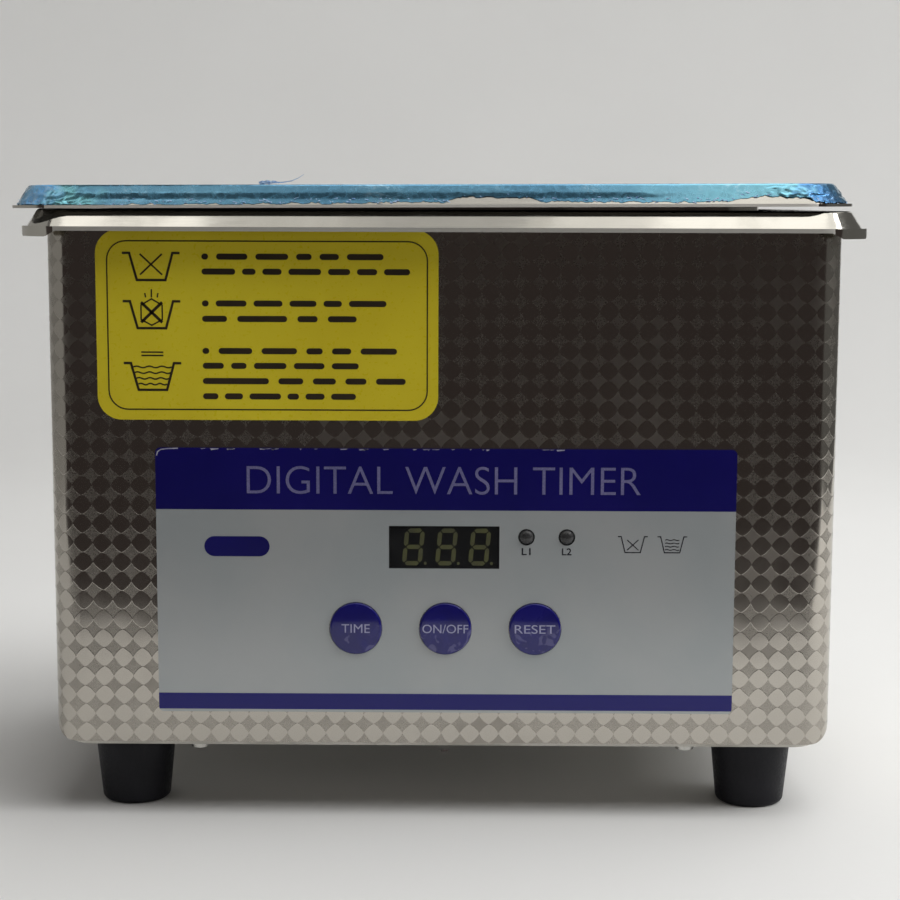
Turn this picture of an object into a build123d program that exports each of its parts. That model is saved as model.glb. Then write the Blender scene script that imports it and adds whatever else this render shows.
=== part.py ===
from build123d import *
import os
from math import atan2, cos, degrees, hypot, radians, sin, tan

# Small bench-top ultrasonic cleaner with a 0.8 litre tank.
# Millimetres, +Z up, the front with the control panel faces -Y.
# The origin is on the floor, under the middle of the machine.

os.makedirs("parts", exist_ok=True)

# ---------------------------------------------------------------- driving dimensions
# Casing: one folded and welded sheet shell, open at the top and the bottom
casing_width = 166.8
casing_depth = 101.8
casing_bottom = 16.5
casing_top = 128.5
casing_corner = 6.5
casing_lower_corner = 4.5
casing_sheet = 0.7
bottom_flange = 9.0
top_flange = 4.0

# Bottom plate and its screws
plate_thickness = 0.8
plate_inset = 1.0
plate_screw_x = 52.5
plate_screw_inset = 6.0
plate_screw_hole = 1.6
plate_screw_head = 2.5
plate_screw_taper = 18
plate_screw_length = 5.0
plate_end_gap = 2.0
cooling_slot_length = 46.0
cooling_slot_width = 3.0
cooling_slot_pitch = 8.0
cooling_slot_count = 7

# Feet
foot_x = 68.1
foot_inset = 15.0
foot_top_radius = 8.9
foot_bottom_radius = 7.35
foot_recess_radius = 4.1
foot_recess_depth = 9.5
foot_screw_radius = 2.0
foot_edge = 1.2
foot_screw_head = 3.7
foot_screw_head_height = 2.6
foot_screw_length = 12.5
head_taper = 12
m4_nut_half_flats = 3.5
m4_nut_height = 3.2

# Tank: one drawn sheet with a bowl, a flat flange, a bevel, a brim and a turned-down lip
tank_length = 150.0
tank_width = 85.0
tank_corner = 15.0
tank_bend = 12.0
tank_mouth_bend = 2.4
rim_edge_bend = 1.0
tank_sheet = 0.8
tank_depth = 65.0
rim_width = 177.0
rim_depth = 112.0
rim_corner = 11.0
rim_seal_height = 0.5
rim_top = casing_top + rim_seal_height + tank_sheet
rim_brim = 1.0
bevel_run = 2.4
bevel_rise = 3.6
lip_height = 0.9
ear_drop = 1.2
ear_start = 9.0
ear_end = 4.0
seal_inset = 0.8
seal_width = 3.4
seal_corner = 5.7

# Lid: one pressed sheet, lying a little off centre and back, with its right end raised
lid_width = 176.6
lid_depth = 109.6
lid_corner = 11.5
lid_sheet = 0.6
lid_brim = 1.2
lid_bevel_run = 3.0
lid_height = 4.7
lid_shift = -2.6
lid_setback = 0.5
lid_tilt = 0.3
lid_gap = 0.05
# The dish drops into the tank's mouth and keeps the lid in place.
lid_dish_length = 142.4
lid_dish_width = 79.0
lid_dish_corner = 13.0
lid_dish_depth = 6.0
film_thickness = 0.15
film_start = 0.1

# Basket: a moulded tray that stands on the tank floor
basket_length = 136.0
basket_width = 71.0
basket_height = 44.0
basket_corner = 12.0
basket_wall = 1.8
basket_foot = 2.0
basket_flange = 3.0
basket_reach = 2.0
basket_draft = 1.5
basket_lower_bend = 4.0
basket_foot_radius = 3.0
basket_foot_inset = 18.0
floor_slot = (9.5, 3.2)
floor_slot_pitch = (12.5, 9.0)
floor_slot_count = (9, 5)
wall_slot_width = 3.4
wall_slot_pitch = 9.0
long_wall_slots = 12
long_wall_slot = 26.0
long_wall_slot_level = 22.0
end_wall_slots = 5
end_wall_slot = 20.0
end_wall_slot_level = 18.0
finger_hole = (26.0, 7.0)
finger_hole_level = 36.0

# Control panel, measured on the front wall
panel_x = 0.65
panel_z = 51.7
panel_width = 122.1
panel_height = 56.7
panel_thickness = 0.6
panel_corner = 1.0
window_x = 0.35
window_z = 59.1
window_width = 23.3
window_height = 9.1
window_thickness = 0.45
window_opening_gap = 0.45
led_positions = ((17.7, 61.35), (26.2, 61.35))
led_radius = 1.65
led_back = 4.0
led_rise = 0.8
led_lead_x = 0.6
led_lead_radius = 0.25
button_z = 41.6
button_pitch = 19.0
button_radius = 5.55
button_gap = 0.1
button_rise = 0.45
button_thickness = 0.75
stem_radius = 2.2
stem_gap = 0.55
plunger_radius = 1.75
label_left = -72.3
label_right = -1.0
label_low = 85.9
label_high = 125.6
label_corner = 5.0
label_thickness = 0.15

# Seven-segment display behind the window
digit_pitch = 7.0
digit_shift = 0.5
digit_slant = 5.5
segment_reach = 1.5
segment_half_height = 0.45
digit_half_width = 1.65
digit_half_height = 3.5
upright_stretch = 1.06
point_offset = 0.85
point_radius = 0.32
segment_thickness = 0.12
module_margin = 0.3

# Circuit boards
board_thickness = 1.6
control_board_gap = 9.3
control_board_width = 104.0
control_board_low = 31.0
control_board_high = 67.0
standoff_x = 48.0
standoff_zs = (34.0, 63.5)
driver_left = -70.0
driver_right = -24.0
driver_half_depth = 28.0
driver_level = 24.5
driver_hole_inset = 4.0
thread_gap = 0.02
m3_clearance = 1.6
m3_shank = 1.25
m3_bore = 1.3
m3_head = 2.7
m3_head_height = 1.7
standoff_radius = 2.9
standoff_drilling = 5.0
m3_bite = 4.0

# Bolt-clamped transducer, bonded under the tank
front_mass_height = 18.0
front_mass_top_radius = 21.0
front_mass_low_radius = 18.0
piezo_radius = 17.5
piezo_bore = 7.5
piezo_height = 5.0
electrode_height = 0.3
back_mass_height = 10.0
bolt_radius = 4.0
bolt_head_radius = 6.5
bolt_head_height = 4.0
bolt_drilling = 12.0
bolt_engagement = 11.0
bolt_socket = 3.0
tab_reach = 22.0
tab_width = 4.0

# Mains inlet of the usual three-pin kind, in the back wall
inlet_x = 40.0
inlet_z = 38.0
inlet_flange_width = 50.0
inlet_flange_height = 23.0
inlet_flange_thickness = 3.0
inlet_body_width = 27.0
inlet_body_height = 19.8
inlet_body_depth = 15.5
socket_width = 23.6
socket_height = 15.6
socket_depth = 16.5
inlet_screw_pitch = 40.0
pin_offsets = ((-7.0, -2.0), (7.0, -2.0), (0.0, 2.0))
tab_end = 22.5
socket_cut = 4.0
pin_size = (2.0, 4.0)
tab_size = (0.8, 6.3)
inlet_corner = 5.0
inlet_gap = 0.1
m3_washer_gap = 0.2
inlet_screw_length = 8.0

# Earth stud through the bottom plate, and the wires
earth_x = 60.0
earth_y = -4.0
terminal_thickness = 0.8
stud_length = 8.0
wire_radius = 1.1
lead_radius = 0.7

# ---------------------------------------------------------------- derived values and helpers
casing_height = casing_top - casing_bottom
plate_bottom = casing_bottom - plate_thickness
foot_y = casing_depth / 2 - foot_inset
tank_floor = rim_top - tank_depth
tank_underside = tank_floor - tank_sheet
brim_top = rim_top - bevel_rise
lip_bottom = brim_top - lip_height
driver_top = driver_level + board_thickness
lid_bevel_rise = lid_height - lid_sheet

front = Plane.XZ.offset(casing_depth / 2)
inlet_plane = Plane(origin=(inlet_x, casing_depth / 2, inlet_z), x_dir=(-1, 0, 0), z_dir=(0, 1, 0))

plate_screw_y = casing_depth / 2 - plate_screw_inset
plate_screw_places = [
    (x, y) for x in (-plate_screw_x, plate_screw_x) for y in (-plate_screw_y, plate_screw_y)
]
foot_places = {
    "foot_front_left": (-foot_x, -foot_y),
    "foot_front_right": (foot_x, -foot_y),
    "foot_rear_left": (-foot_x, foot_y),
    "foot_rear_right": (foot_x, foot_y),
}
button_places = {
    "time": (panel_x - button_pitch, button_z),
    "power": (panel_x, button_z),
    "reset": (panel_x + button_pitch, button_z),
}


def save(builder, node):
    """Labels a finished piece and writes it to its own file."""
    builder.part.label = node
    export_step(builder.part, f"parts/{node}.step")


def parallel_offset(thickness, run, rise):
    """Horizontal distance between the two faces of a sloping sheet."""
    return thickness * hypot(run, rise) / rise


def bend_radii(points):
    """The largest tangent arcs that the runs of a wire's route allow, one for each corner."""
    vectors = [Vector(*p) for p in points]
    runs = [b - a for a, b in zip(vectors, vectors[1:])]
    radii = []
    for before, after in zip(runs, runs[1:]):
        half_turn = radians(before.get_angle(after)) / 2
        radii.append(0.45 * min(before.length, after.length) / tan(half_turn))
    return radii


# ---------------------------------------------------------------- casing
# The space inside the casing, one sheet inside its outer faces.
with BuildPart() as casing_space:
    with BuildSketch(Plane.XY.offset(casing_bottom + casing_sheet)):
        RectangleRounded(
            casing_width - 2 * casing_sheet,
            casing_depth - 2 * casing_sheet,
            casing_corner - casing_sheet,
        )
    extrude(amount=casing_height - 2 * casing_sheet)
    with BuildSketch(Plane.XZ):
        with Locations((0, casing_bottom + casing_sheet + casing_height / 2)):
            RectangleRounded(
                casing_width - 2 * casing_sheet, casing_height, casing_lower_corner - casing_sheet
            )
    extrude(amount=casing_depth, both=True, mode=Mode.INTERSECT)

with BuildPart() as outer_casing:
    with BuildSketch(Plane.XY.offset(casing_bottom)):
        RectangleRounded(casing_width, casing_depth, casing_corner)
    extrude(amount=casing_height)
    # Seen from the front, the two lower corners are rounded.
    with BuildSketch(Plane.XZ):
        with Locations((0, casing_bottom + casing_height)):
            RectangleRounded(casing_width, 2 * casing_height, casing_lower_corner)
    extrude(amount=casing_depth, both=True, mode=Mode.INTERSECT)
    add(casing_space.part, mode=Mode.SUBTRACT)
    # A flange turns inwards round the bottom and a narrower one round the top.
    with BuildSketch(Plane.XY.offset(casing_bottom)):
        RectangleRounded(
            casing_width - 2 * (casing_sheet + bottom_flange),
            casing_depth - 2 * (casing_sheet + bottom_flange),
            3,
        )
    extrude(amount=casing_sheet, mode=Mode.SUBTRACT)
    with BuildSketch(Plane.XY.offset(casing_top - casing_sheet)):
        RectangleRounded(
            casing_width - 2 * (casing_sheet + top_flange),
            casing_depth - 2 * (casing_sheet + top_flange),
            5,
        )
    extrude(amount=casing_sheet, mode=Mode.SUBTRACT)
    with BuildSketch(Plane.XY.offset(casing_bottom)):
        with Locations(*plate_screw_places):
            Circle(m3_shank + 0.1)
    extrude(amount=casing_sheet, mode=Mode.SUBTRACT)
    # Openings in the front wall for the display, the indicator lamps and the button stems
    with BuildSketch(front):
        with Locations((window_x, window_z)):
            Rectangle(window_width + 2 * window_opening_gap, window_height + 2 * window_opening_gap)
        with Locations(*led_positions):
            Circle(led_radius + 0.1)
        with Locations(*button_places.values()):
            Circle(stem_radius + stem_gap)
    extrude(amount=-casing_sheet, mode=Mode.SUBTRACT)
    # Openings in the back wall for the inlet and its screws
    with BuildSketch(inlet_plane):
        Rectangle(inlet_body_width + 2 * inlet_gap, inlet_body_height + 2 * inlet_gap)
        with GridLocations(inlet_screw_pitch, 0, 2, 1):
            Circle(m3_shank + 0.1)
    extrude(amount=-casing_sheet, mode=Mode.SUBTRACT)
save(outer_casing, "outer_casing")

# ---------------------------------------------------------------- bottom plate
with BuildPart() as bottom_plate:
    with BuildSketch(Plane.XY.offset(plate_bottom)):
        RectangleRounded(
            casing_width - 2 * (plate_inset + plate_end_gap),
            casing_depth - 2 * plate_inset,
            casing_corner - plate_inset,
        )
        with Locations(*plate_screw_places):
            Circle(plate_screw_hole, mode=Mode.SUBTRACT)
        with Locations(*foot_places.values()):
            Circle(foot_screw_radius + 0.1, mode=Mode.SUBTRACT)
        # Cooling slots under the electronics
        with GridLocations(0, cooling_slot_pitch, 1, cooling_slot_count):
            SlotOverall(cooling_slot_length, cooling_slot_width, mode=Mode.SUBTRACT)
        with Locations((earth_x, earth_y)):
            Circle(foot_screw_radius + 0.1, mode=Mode.SUBTRACT)
    extrude(amount=plate_thickness)
save(bottom_plate, "bottom_plate")

with BuildPart() as bottom_plate_screws:
    with BuildSketch(Plane.XY.offset(plate_bottom)):
        with Locations(*plate_screw_places):
            Circle(plate_screw_head)
    extrude(amount=-m3_head_height, taper=plate_screw_taper)
    with BuildSketch(Plane.XY.offset(plate_bottom)):
        with Locations(*plate_screw_places):
            Circle(m3_shank)
    extrude(amount=plate_screw_length)
save(bottom_plate_screws, "bottom_plate_screws")

# ---------------------------------------------------------------- feet
for foot_name, (x, y) in foot_places.items():
    with BuildPart() as foot:
        with BuildSketch(Plane((x, y, 0))):
            Circle(foot_bottom_radius)
        with BuildSketch(Plane((x, y, plate_bottom))):
            Circle(foot_top_radius)
        loft()
        fillet(foot.edges().filter_by(GeomType.CIRCLE).sort_by(Axis.Z)[0], foot_edge)
        with BuildSketch(Plane((x, y, 0))):
            Circle(foot_recess_radius)
        extrude(amount=foot_recess_depth, mode=Mode.SUBTRACT)
        with BuildSketch(Plane((x, y, 0))):
            Circle(foot_screw_radius + 0.1)
        extrude(amount=plate_bottom, mode=Mode.SUBTRACT)
    save(foot, foot_name)

with BuildPart() as foot_screws:
    with BuildSketch(Plane.XY.offset(foot_recess_depth)):
        with Locations(*foot_places.values()):
            Circle(foot_screw_head)
    extrude(amount=-foot_screw_head_height, taper=head_taper)
    with BuildSketch(Plane.XY.offset(foot_recess_depth)):
        with Locations(*foot_places.values()):
            Circle(foot_screw_radius)
    extrude(amount=foot_screw_length)
save(foot_screws, "foot_screws")

with BuildPart() as foot_nuts:
    with BuildSketch(Plane.XY.offset(casing_bottom)):
        with Locations(*foot_places.values()):
            RegularPolygon(m4_nut_half_flats, 6, major_radius=False)
            Circle(foot_screw_radius + thread_gap, mode=Mode.SUBTRACT)
    extrude(amount=m4_nut_height)
save(foot_nuts, "foot_nuts")

# ---------------------------------------------------------------- tank
bevel_taper = degrees(atan2(bevel_run, bevel_rise))
under_brim = brim_top - tank_sheet
under_bevel_inset = (
    rim_brim
    - tank_sheet * bevel_run / bevel_rise
    + parallel_offset(tank_sheet, bevel_run, bevel_rise)
)

with BuildPart() as tank_water_space:
    with BuildSketch(Plane.XY.offset(tank_floor)):
        RectangleRounded(tank_length, tank_width, tank_corner)
    extrude(amount=tank_depth)
    fillet(tank_water_space.edges().group_by(Axis.Z)[0], tank_bend)

with BuildPart() as tank:
    # Turned-down lip, which hangs lower at the four corners
    with BuildSketch(Plane.XY.offset(lip_bottom - ear_drop)):
        RectangleRounded(rim_width, rim_depth, rim_corner)
        RectangleRounded(
            rim_width - 2 * tank_sheet,
            rim_depth - 2 * tank_sheet,
            rim_corner - tank_sheet,
            mode=Mode.SUBTRACT,
        )
    extrude(amount=lip_height + ear_drop)
    under_lip = lip_bottom - 2 * ear_drop
    for plane, length, reach in (
        (Plane.XZ, rim_width, rim_depth),
        (Plane.YZ, rim_depth, rim_width),
    ):
        with BuildSketch(plane):
            with BuildLine():
                Polyline(
                    (-length / 2 + ear_end, under_lip),
                    (-length / 2 + ear_start, lip_bottom),
                    (length / 2 - ear_start, lip_bottom),
                    (length / 2 - ear_end, under_lip),
                    close=True,
                )
            make_face()
        extrude(amount=reach, both=True, mode=Mode.SUBTRACT)
    # Brim, then the bevel up to the flat flange
    with BuildSketch(Plane.XY.offset(under_brim)):
        RectangleRounded(rim_width - tank_sheet, rim_depth - tank_sheet, rim_corner - tank_sheet / 2)
    extrude(amount=tank_sheet)
    with BuildSketch(Plane.XY.offset(brim_top)):
        RectangleRounded(rim_width - 2 * rim_brim, rim_depth - 2 * rim_brim, rim_corner - rim_brim)
    extrude(amount=bevel_rise, taper=bevel_taper)
    with BuildSketch(Plane.XY.offset(under_brim)):
        RectangleRounded(
            rim_width - 2 * under_bevel_inset,
            rim_depth - 2 * under_bevel_inset,
            rim_corner - under_bevel_inset,
        )
    extrude(amount=bevel_rise, taper=bevel_taper, mode=Mode.SUBTRACT)
    # Bowl
    with BuildSketch(Plane.XY.offset(tank_underside)):
        RectangleRounded(
            tank_length + 2 * tank_sheet, tank_width + 2 * tank_sheet, tank_corner + tank_sheet
        )
    extrude(amount=tank_depth + tank_sheet)
    fillet(tank.edges().group_by(Axis.Z)[0], tank_bend + tank_sheet)
    add(tank_water_space.part, mode=Mode.SUBTRACT)
    # The sheet bends round at the mouth and at the outer edge of the flange.
    mouth_x = tank_length / 2 + 2 * tank_sheet
    mouth_y = tank_width / 2 + 2 * tank_sheet
    under_flange = rim_top - tank_sheet
    for level, bend in ((under_flange, tank_mouth_bend - tank_sheet), (rim_top, tank_mouth_bend)):
        mouth = tank.edges().filter_by_position(Axis.Z, level - tank_sheet / 4, level + tank_sheet / 4)
        mouth = mouth.filter_by_position(Axis.X, -mouth_x, mouth_x)
        fillet(mouth.filter_by_position(Axis.Y, -mouth_y, mouth_y), bend)
    fillet(tank.faces().filter_by(Axis.Z).sort_by(Axis.Z)[-1].outer_wire().edges(), rim_edge_bend)
save(tank, "tank")

with BuildPart() as rim_seal:
    with BuildSketch(Plane.XY.offset(casing_top)):
        RectangleRounded(casing_width - 2 * seal_inset, casing_depth - 2 * seal_inset, seal_corner)
        RectangleRounded(
            casing_width - 2 * (seal_inset + seal_width),
            casing_depth - 2 * (seal_inset + seal_width),
            seal_corner - seal_width / 2,
            mode=Mode.SUBTRACT,
        )
    extrude(amount=rim_seal_height)
save(rim_seal, "rim_seal")

# ---------------------------------------------------------------- basket
basket_bottom = tank_floor + basket_foot
basket_top = basket_bottom + basket_height
basket_flare = 2 * basket_height * tan(radians(basket_draft))

with BuildPart() as basket:
    with BuildSketch(Plane.XY.offset(basket_bottom)):
        RectangleRounded(basket_length, basket_width, basket_corner)
    extrude(amount=basket_height, taper=-basket_draft)
    fillet(basket.edges().group_by(Axis.Z)[0], basket_lower_bend)
    with BuildSketch(Plane.XY.offset(basket_bottom + basket_wall)):
        RectangleRounded(
            basket_length - 2 * basket_wall, basket_width - 2 * basket_wall, basket_corner - basket_wall
        )
    extrude(amount=basket_height - basket_wall, taper=-basket_draft, mode=Mode.SUBTRACT)
    # Flange round the top, and four feet that stand on the tank floor
    with BuildSketch(Plane.XY.offset(basket_top - basket_wall)):
        RectangleRounded(
            basket_length + basket_flare + 2 * basket_reach,
            basket_width + basket_flare + 2 * basket_reach,
            basket_corner + basket_flange,
        )
        RectangleRounded(
            basket_length + basket_flare - 2 * basket_wall,
            basket_width + basket_flare - 2 * basket_wall,
            basket_corner,
            mode=Mode.SUBTRACT,
        )
    extrude(amount=basket_wall)
    with BuildSketch(Plane.XY.offset(tank_floor)):
        with GridLocations(
            basket_length - 2 * basket_foot_inset, basket_width - 2 * basket_foot_inset, 2, 2
        ):
            Circle(basket_foot_radius)
    extrude(amount=basket_foot + basket_wall / 2)
    # Drain slots in the floor and the walls
    with BuildSketch(Plane.XY.offset(basket_bottom)):
        with GridLocations(*floor_slot_pitch, *floor_slot_count):
            SlotOverall(*floor_slot)
    extrude(amount=basket_wall, mode=Mode.SUBTRACT)
    with BuildSketch(Plane.XZ):
        with Locations((0, basket_bottom + long_wall_slot_level)):
            with GridLocations(wall_slot_pitch, 0, long_wall_slots, 1):
                SlotOverall(long_wall_slot, wall_slot_width, rotation=90)
    extrude(amount=basket_width, both=True, mode=Mode.SUBTRACT)
    with BuildSketch(Plane.YZ):
        with Locations((0, basket_bottom + end_wall_slot_level)):
            with GridLocations(wall_slot_pitch, 0, end_wall_slots, 1):
                SlotOverall(end_wall_slot, wall_slot_width, rotation=90)
        # A finger hole at each end, to lift the basket by
        with Locations((0, basket_bottom + finger_hole_level)):
            SlotOverall(*finger_hole)
    extrude(amount=basket_length, both=True, mode=Mode.SUBTRACT)
save(basket, "basket")

# ---------------------------------------------------------------- lid and its protective film
rim_flat_end = rim_width / 2 - rim_brim - bevel_run
lid_rest = rim_top + lid_gap + (rim_flat_end + lid_shift) * tan(radians(lid_tilt))
lid_plane = Plane(
    origin=(lid_shift, lid_setback, lid_rest),
    x_dir=(cos(radians(lid_tilt)), 0, sin(radians(lid_tilt))),
    z_dir=(-sin(radians(lid_tilt)), 0, cos(radians(lid_tilt))),
)
lid_taper = degrees(atan2(lid_bevel_run, lid_bevel_rise))
lid_under_inset = (
    lid_brim
    - lid_sheet * lid_bevel_run / lid_bevel_rise
    + parallel_offset(lid_sheet, lid_bevel_run, lid_bevel_rise)
)
film_offset = parallel_offset(film_thickness, lid_bevel_run, lid_bevel_rise)
dish_level = lid_height - lid_dish_depth
dish_inner_length = lid_dish_length - 2 * lid_sheet
dish_inner_width = lid_dish_width - 2 * lid_sheet
dish_inner_corner = lid_dish_corner - lid_sheet

with BuildPart() as lid:
    with BuildSketch(lid_plane):
        RectangleRounded(lid_width, lid_depth, lid_corner)
    extrude(amount=lid_sheet)
    with BuildSketch(lid_plane.offset(lid_sheet)):
        RectangleRounded(lid_width - 2 * lid_brim, lid_depth - 2 * lid_brim, lid_corner - lid_brim)
    extrude(amount=lid_bevel_rise, taper=lid_taper)
    with BuildSketch(lid_plane):
        RectangleRounded(
            lid_width - 2 * lid_under_inset,
            lid_depth - 2 * lid_under_inset,
            lid_corner - lid_under_inset,
        )
    extrude(amount=lid_bevel_rise, taper=lid_taper, mode=Mode.SUBTRACT)
    # Dish pressed into the middle
    with BuildSketch(lid_plane.offset(dish_level - lid_sheet)):
        RectangleRounded(lid_dish_length, lid_dish_width, lid_dish_corner)
    extrude(amount=lid_dish_depth + lid_sheet / 2)
    with BuildSketch(lid_plane.offset(lid_height)):
        RectangleRounded(dish_inner_length, dish_inner_width, dish_inner_corner)
    extrude(amount=-lid_dish_depth, mode=Mode.SUBTRACT)
save(lid, "lid")

with BuildPart() as lid_film:
    film_base = lid_sheet + film_start
    film_inset = lid_brim + film_start * lid_bevel_run / lid_bevel_rise
    with BuildSketch(lid_plane.offset(film_base)):
        RectangleRounded(
            lid_width - 2 * (film_inset - film_offset),
            lid_depth - 2 * (film_inset - film_offset),
            lid_corner - film_inset + film_offset,
        )
    extrude(amount=lid_height - film_base + film_thickness, taper=lid_taper)
    with BuildSketch(lid_plane.offset(film_base)):
        RectangleRounded(
            lid_width - 2 * film_inset,
            lid_depth - 2 * film_inset,
            lid_corner - film_inset,
        )
    extrude(amount=lid_height - film_base, taper=lid_taper, mode=Mode.SUBTRACT)
    # The film follows the dish too.
    with BuildSketch(lid_plane.offset(dish_level)):
        RectangleRounded(dish_inner_length, dish_inner_width, dish_inner_corner)
    extrude(amount=lid_dish_depth + film_thickness / 2)
    with BuildSketch(lid_plane.offset(dish_level + film_thickness)):
        RectangleRounded(
            dish_inner_length - 2 * film_thickness,
            dish_inner_width - 2 * film_thickness,
            dish_inner_corner - film_thickness,
        )
    extrude(amount=lid_dish_depth, mode=Mode.SUBTRACT)
save(lid_film, "lid_film")

# ---------------------------------------------------------------- front panel, display window and label
with BuildPart() as panel_overlay:
    with BuildSketch(front):
        with Locations((panel_x, panel_z)):
            RectangleRounded(panel_width, panel_height, panel_corner)
        with Locations((window_x, window_z)):
            Rectangle(window_width, window_height, mode=Mode.SUBTRACT)
        with Locations(*led_positions):
            Circle(led_radius + 0.1, mode=Mode.SUBTRACT)
        with Locations(*button_places.values()):
            Circle(button_radius + button_gap, mode=Mode.SUBTRACT)
    extrude(amount=panel_thickness)
save(panel_overlay, "panel_overlay")

with BuildPart() as display_window:
    with BuildSketch(front.offset(panel_thickness - window_thickness)):
        with Locations((window_x, window_z)):
            Rectangle(window_width, window_height)
    extrude(amount=window_thickness)
save(display_window, "display_window")

with BuildPart() as instruction_label:
    with BuildSketch(front):
        with Locations(((label_left + label_right) / 2, (label_low + label_high) / 2)):
            RectangleRounded(label_right - label_left, label_high - label_low, label_corner)
    extrude(amount=label_thickness)
save(instruction_label, "instruction_label")

# ---------------------------------------------------------------- buttons and their switches
switch_side = 6.0
switch_height = 3.5
button_edge = 0.45
switch_front = control_board_gap - switch_height
plunger_start = 3.9
plunger_depth = 0.8
recess_depth = 1.3

for button_name, place in button_places.items():
    with BuildPart() as button_cap:
        with BuildSketch(front.offset(button_rise)):
            with Locations(place):
                Circle(button_radius)
        extrude(amount=button_thickness)
        fillet(button_cap.edges().filter_by(GeomType.CIRCLE).sort_by(Axis.Y)[0], button_edge)
        with BuildSketch(front.offset(button_rise)):
            with Locations(place):
                Circle(stem_radius)
        extrude(amount=-button_rise - plunger_start)
    save(button_cap, f"{button_name}_button")
    with BuildPart() as plunger:
        with BuildSketch(front.offset(-plunger_start)):
            with Locations(place):
                Circle(plunger_radius)
        extrude(amount=plunger_start - switch_front - plunger_depth)
    save(plunger, f"{button_name}_plunger")

with BuildPart() as tact_switches:
    with BuildSketch(front.offset(-control_board_gap)):
        with Locations(*button_places.values()):
            Rectangle(switch_side, switch_side)
    extrude(amount=switch_height)
    with BuildSketch(front.offset(-switch_front)):
        with Locations(*button_places.values()):
            Circle(plunger_radius + 0.1)
    extrude(amount=-recess_depth, mode=Mode.SUBTRACT)
save(tact_switches, "tact_switches")

# ---------------------------------------------------------------- display and indicator lamps
with BuildPart() as display_module:
    with BuildSketch(front.offset(-control_board_gap)):
        with Locations((window_x, window_z)):
            Rectangle(window_width + 2 * module_margin, window_height + 2 * module_margin)
    extrude(amount=control_board_gap)
save(display_module, "display_module")


def leaning(points, digit_x):
    """Leans an upright outline to the right and moves it to its digit."""
    lean = tan(radians(digit_slant))
    return [(digit_x + x + z * lean, window_z + z) for x, z in points]


flat_segment = [
    (-segment_reach, 0),
    (-segment_reach + segment_half_height, segment_half_height),
    (segment_reach - segment_half_height, segment_half_height),
    (segment_reach, 0),
    (segment_reach - segment_half_height, -segment_half_height),
    (-segment_reach + segment_half_height, -segment_half_height),
]
upright_segment = [(z, x * upright_stretch) for x, z in flat_segment]
segment_places = [(flat_segment, 0, level * digit_half_height) for level in (-1, 0, 1)]
segment_places += [
    (upright_segment, side * digit_half_width, level * digit_half_height / 2)
    for side in (-1, 1)
    for level in (-1, 1)
]

with BuildPart() as display_segments:
    with BuildSketch(front):
        for digit in (-1, 0, 1):
            digit_x = window_x + digit_shift + digit * digit_pitch
            for outline, x_shift, z_shift in segment_places:
                corners = [(x + x_shift, z + z_shift) for x, z in outline]
                Polygon(*leaning(corners, digit_x), align=None)
            with Locations((digit_x + digit_half_width + point_offset, window_z - digit_half_height)):
                Circle(point_radius)
    extrude(amount=segment_thickness)
save(display_segments, "display_segments")

with BuildPart() as indicator_leds:
    with BuildSketch(front.offset(-led_back)):
        with Locations(*led_positions):
            Circle(led_radius)
    extrude(amount=led_back + panel_thickness + led_rise)
    fillet(indicator_leds.edges().filter_by(GeomType.CIRCLE).group_by(Axis.Y)[0], led_radius - 0.15)
    with BuildSketch(front.offset(-led_back)):
        for x, z in led_positions:
            with Locations((x - led_lead_x, z), (x + led_lead_x, z)):
                Circle(led_lead_radius)
    extrude(amount=led_back - control_board_gap)
save(indicator_leds, "indicator_leds")

# ---------------------------------------------------------------- control board
standoff_places = [(x, z) for x in (-standoff_x, standoff_x) for z in standoff_zs]

with BuildPart() as control_board:
    with BuildSketch(front.offset(-control_board_gap)):
        with Locations((0, (control_board_low + control_board_high) / 2)):
            Rectangle(control_board_width, control_board_high - control_board_low)
        with Locations(*standoff_places):
            Circle(m3_clearance, mode=Mode.SUBTRACT)
    extrude(amount=-board_thickness)
save(control_board, "control_board")

with BuildPart() as control_board_standoffs:
    with BuildSketch(front.offset(-control_board_gap)):
        with Locations(*standoff_places):
            RegularPolygon(standoff_radius, 6)
    extrude(amount=control_board_gap - casing_sheet)
    with BuildSketch(front.offset(-control_board_gap)):
        with Locations(*standoff_places):
            Circle(m3_bore)
    extrude(amount=standoff_drilling, mode=Mode.SUBTRACT)
save(control_board_standoffs, "control_board_standoffs")

with BuildPart() as control_board_screws:
    with BuildSketch(front.offset(-control_board_gap - board_thickness)):
        with Locations(*standoff_places):
            Circle(m3_head)
    extrude(amount=-m3_head_height)
    with BuildSketch(front.offset(-control_board_gap - board_thickness)):
        with Locations(*standoff_places):
            Circle(m3_shank)
    extrude(amount=board_thickness + m3_bite)
save(control_board_screws, "control_board_screws")

chip_x = 8.0
chip_z = 46.0
chip_length = 12.8
chip_width = 7.5
chip_height = 2.3
chip_lead = (0.45, 1.5)
chip_lead_pitch = 1.27
chip_lead_count = 10
chip_lead_reach = 4.4
chip_lead_height = 0.5
with BuildPart() as microcontroller:
    with BuildSketch(front.offset(-control_board_gap - board_thickness)):
        with Locations((chip_x, chip_z)):
            Rectangle(chip_length, chip_width)
    extrude(amount=-chip_height)
    with BuildSketch(front.offset(-control_board_gap - board_thickness)):
        with Locations((chip_x, chip_z - chip_lead_reach), (chip_x, chip_z + chip_lead_reach)):
            with GridLocations(chip_lead_pitch, 0, chip_lead_count, 1):
                Rectangle(*chip_lead)
    extrude(amount=-chip_lead_height)
save(microcontroller, "microcontroller")

# ---------------------------------------------------------------- driver board and what stands on it
driver_x = (driver_left + driver_right) / 2
driver_hole_span = driver_right - driver_left - 2 * driver_hole_inset
driver_hole_depth = 2 * (driver_half_depth - driver_hole_inset)
driver_centre = Plane((driver_x, 0, driver_level))

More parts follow.
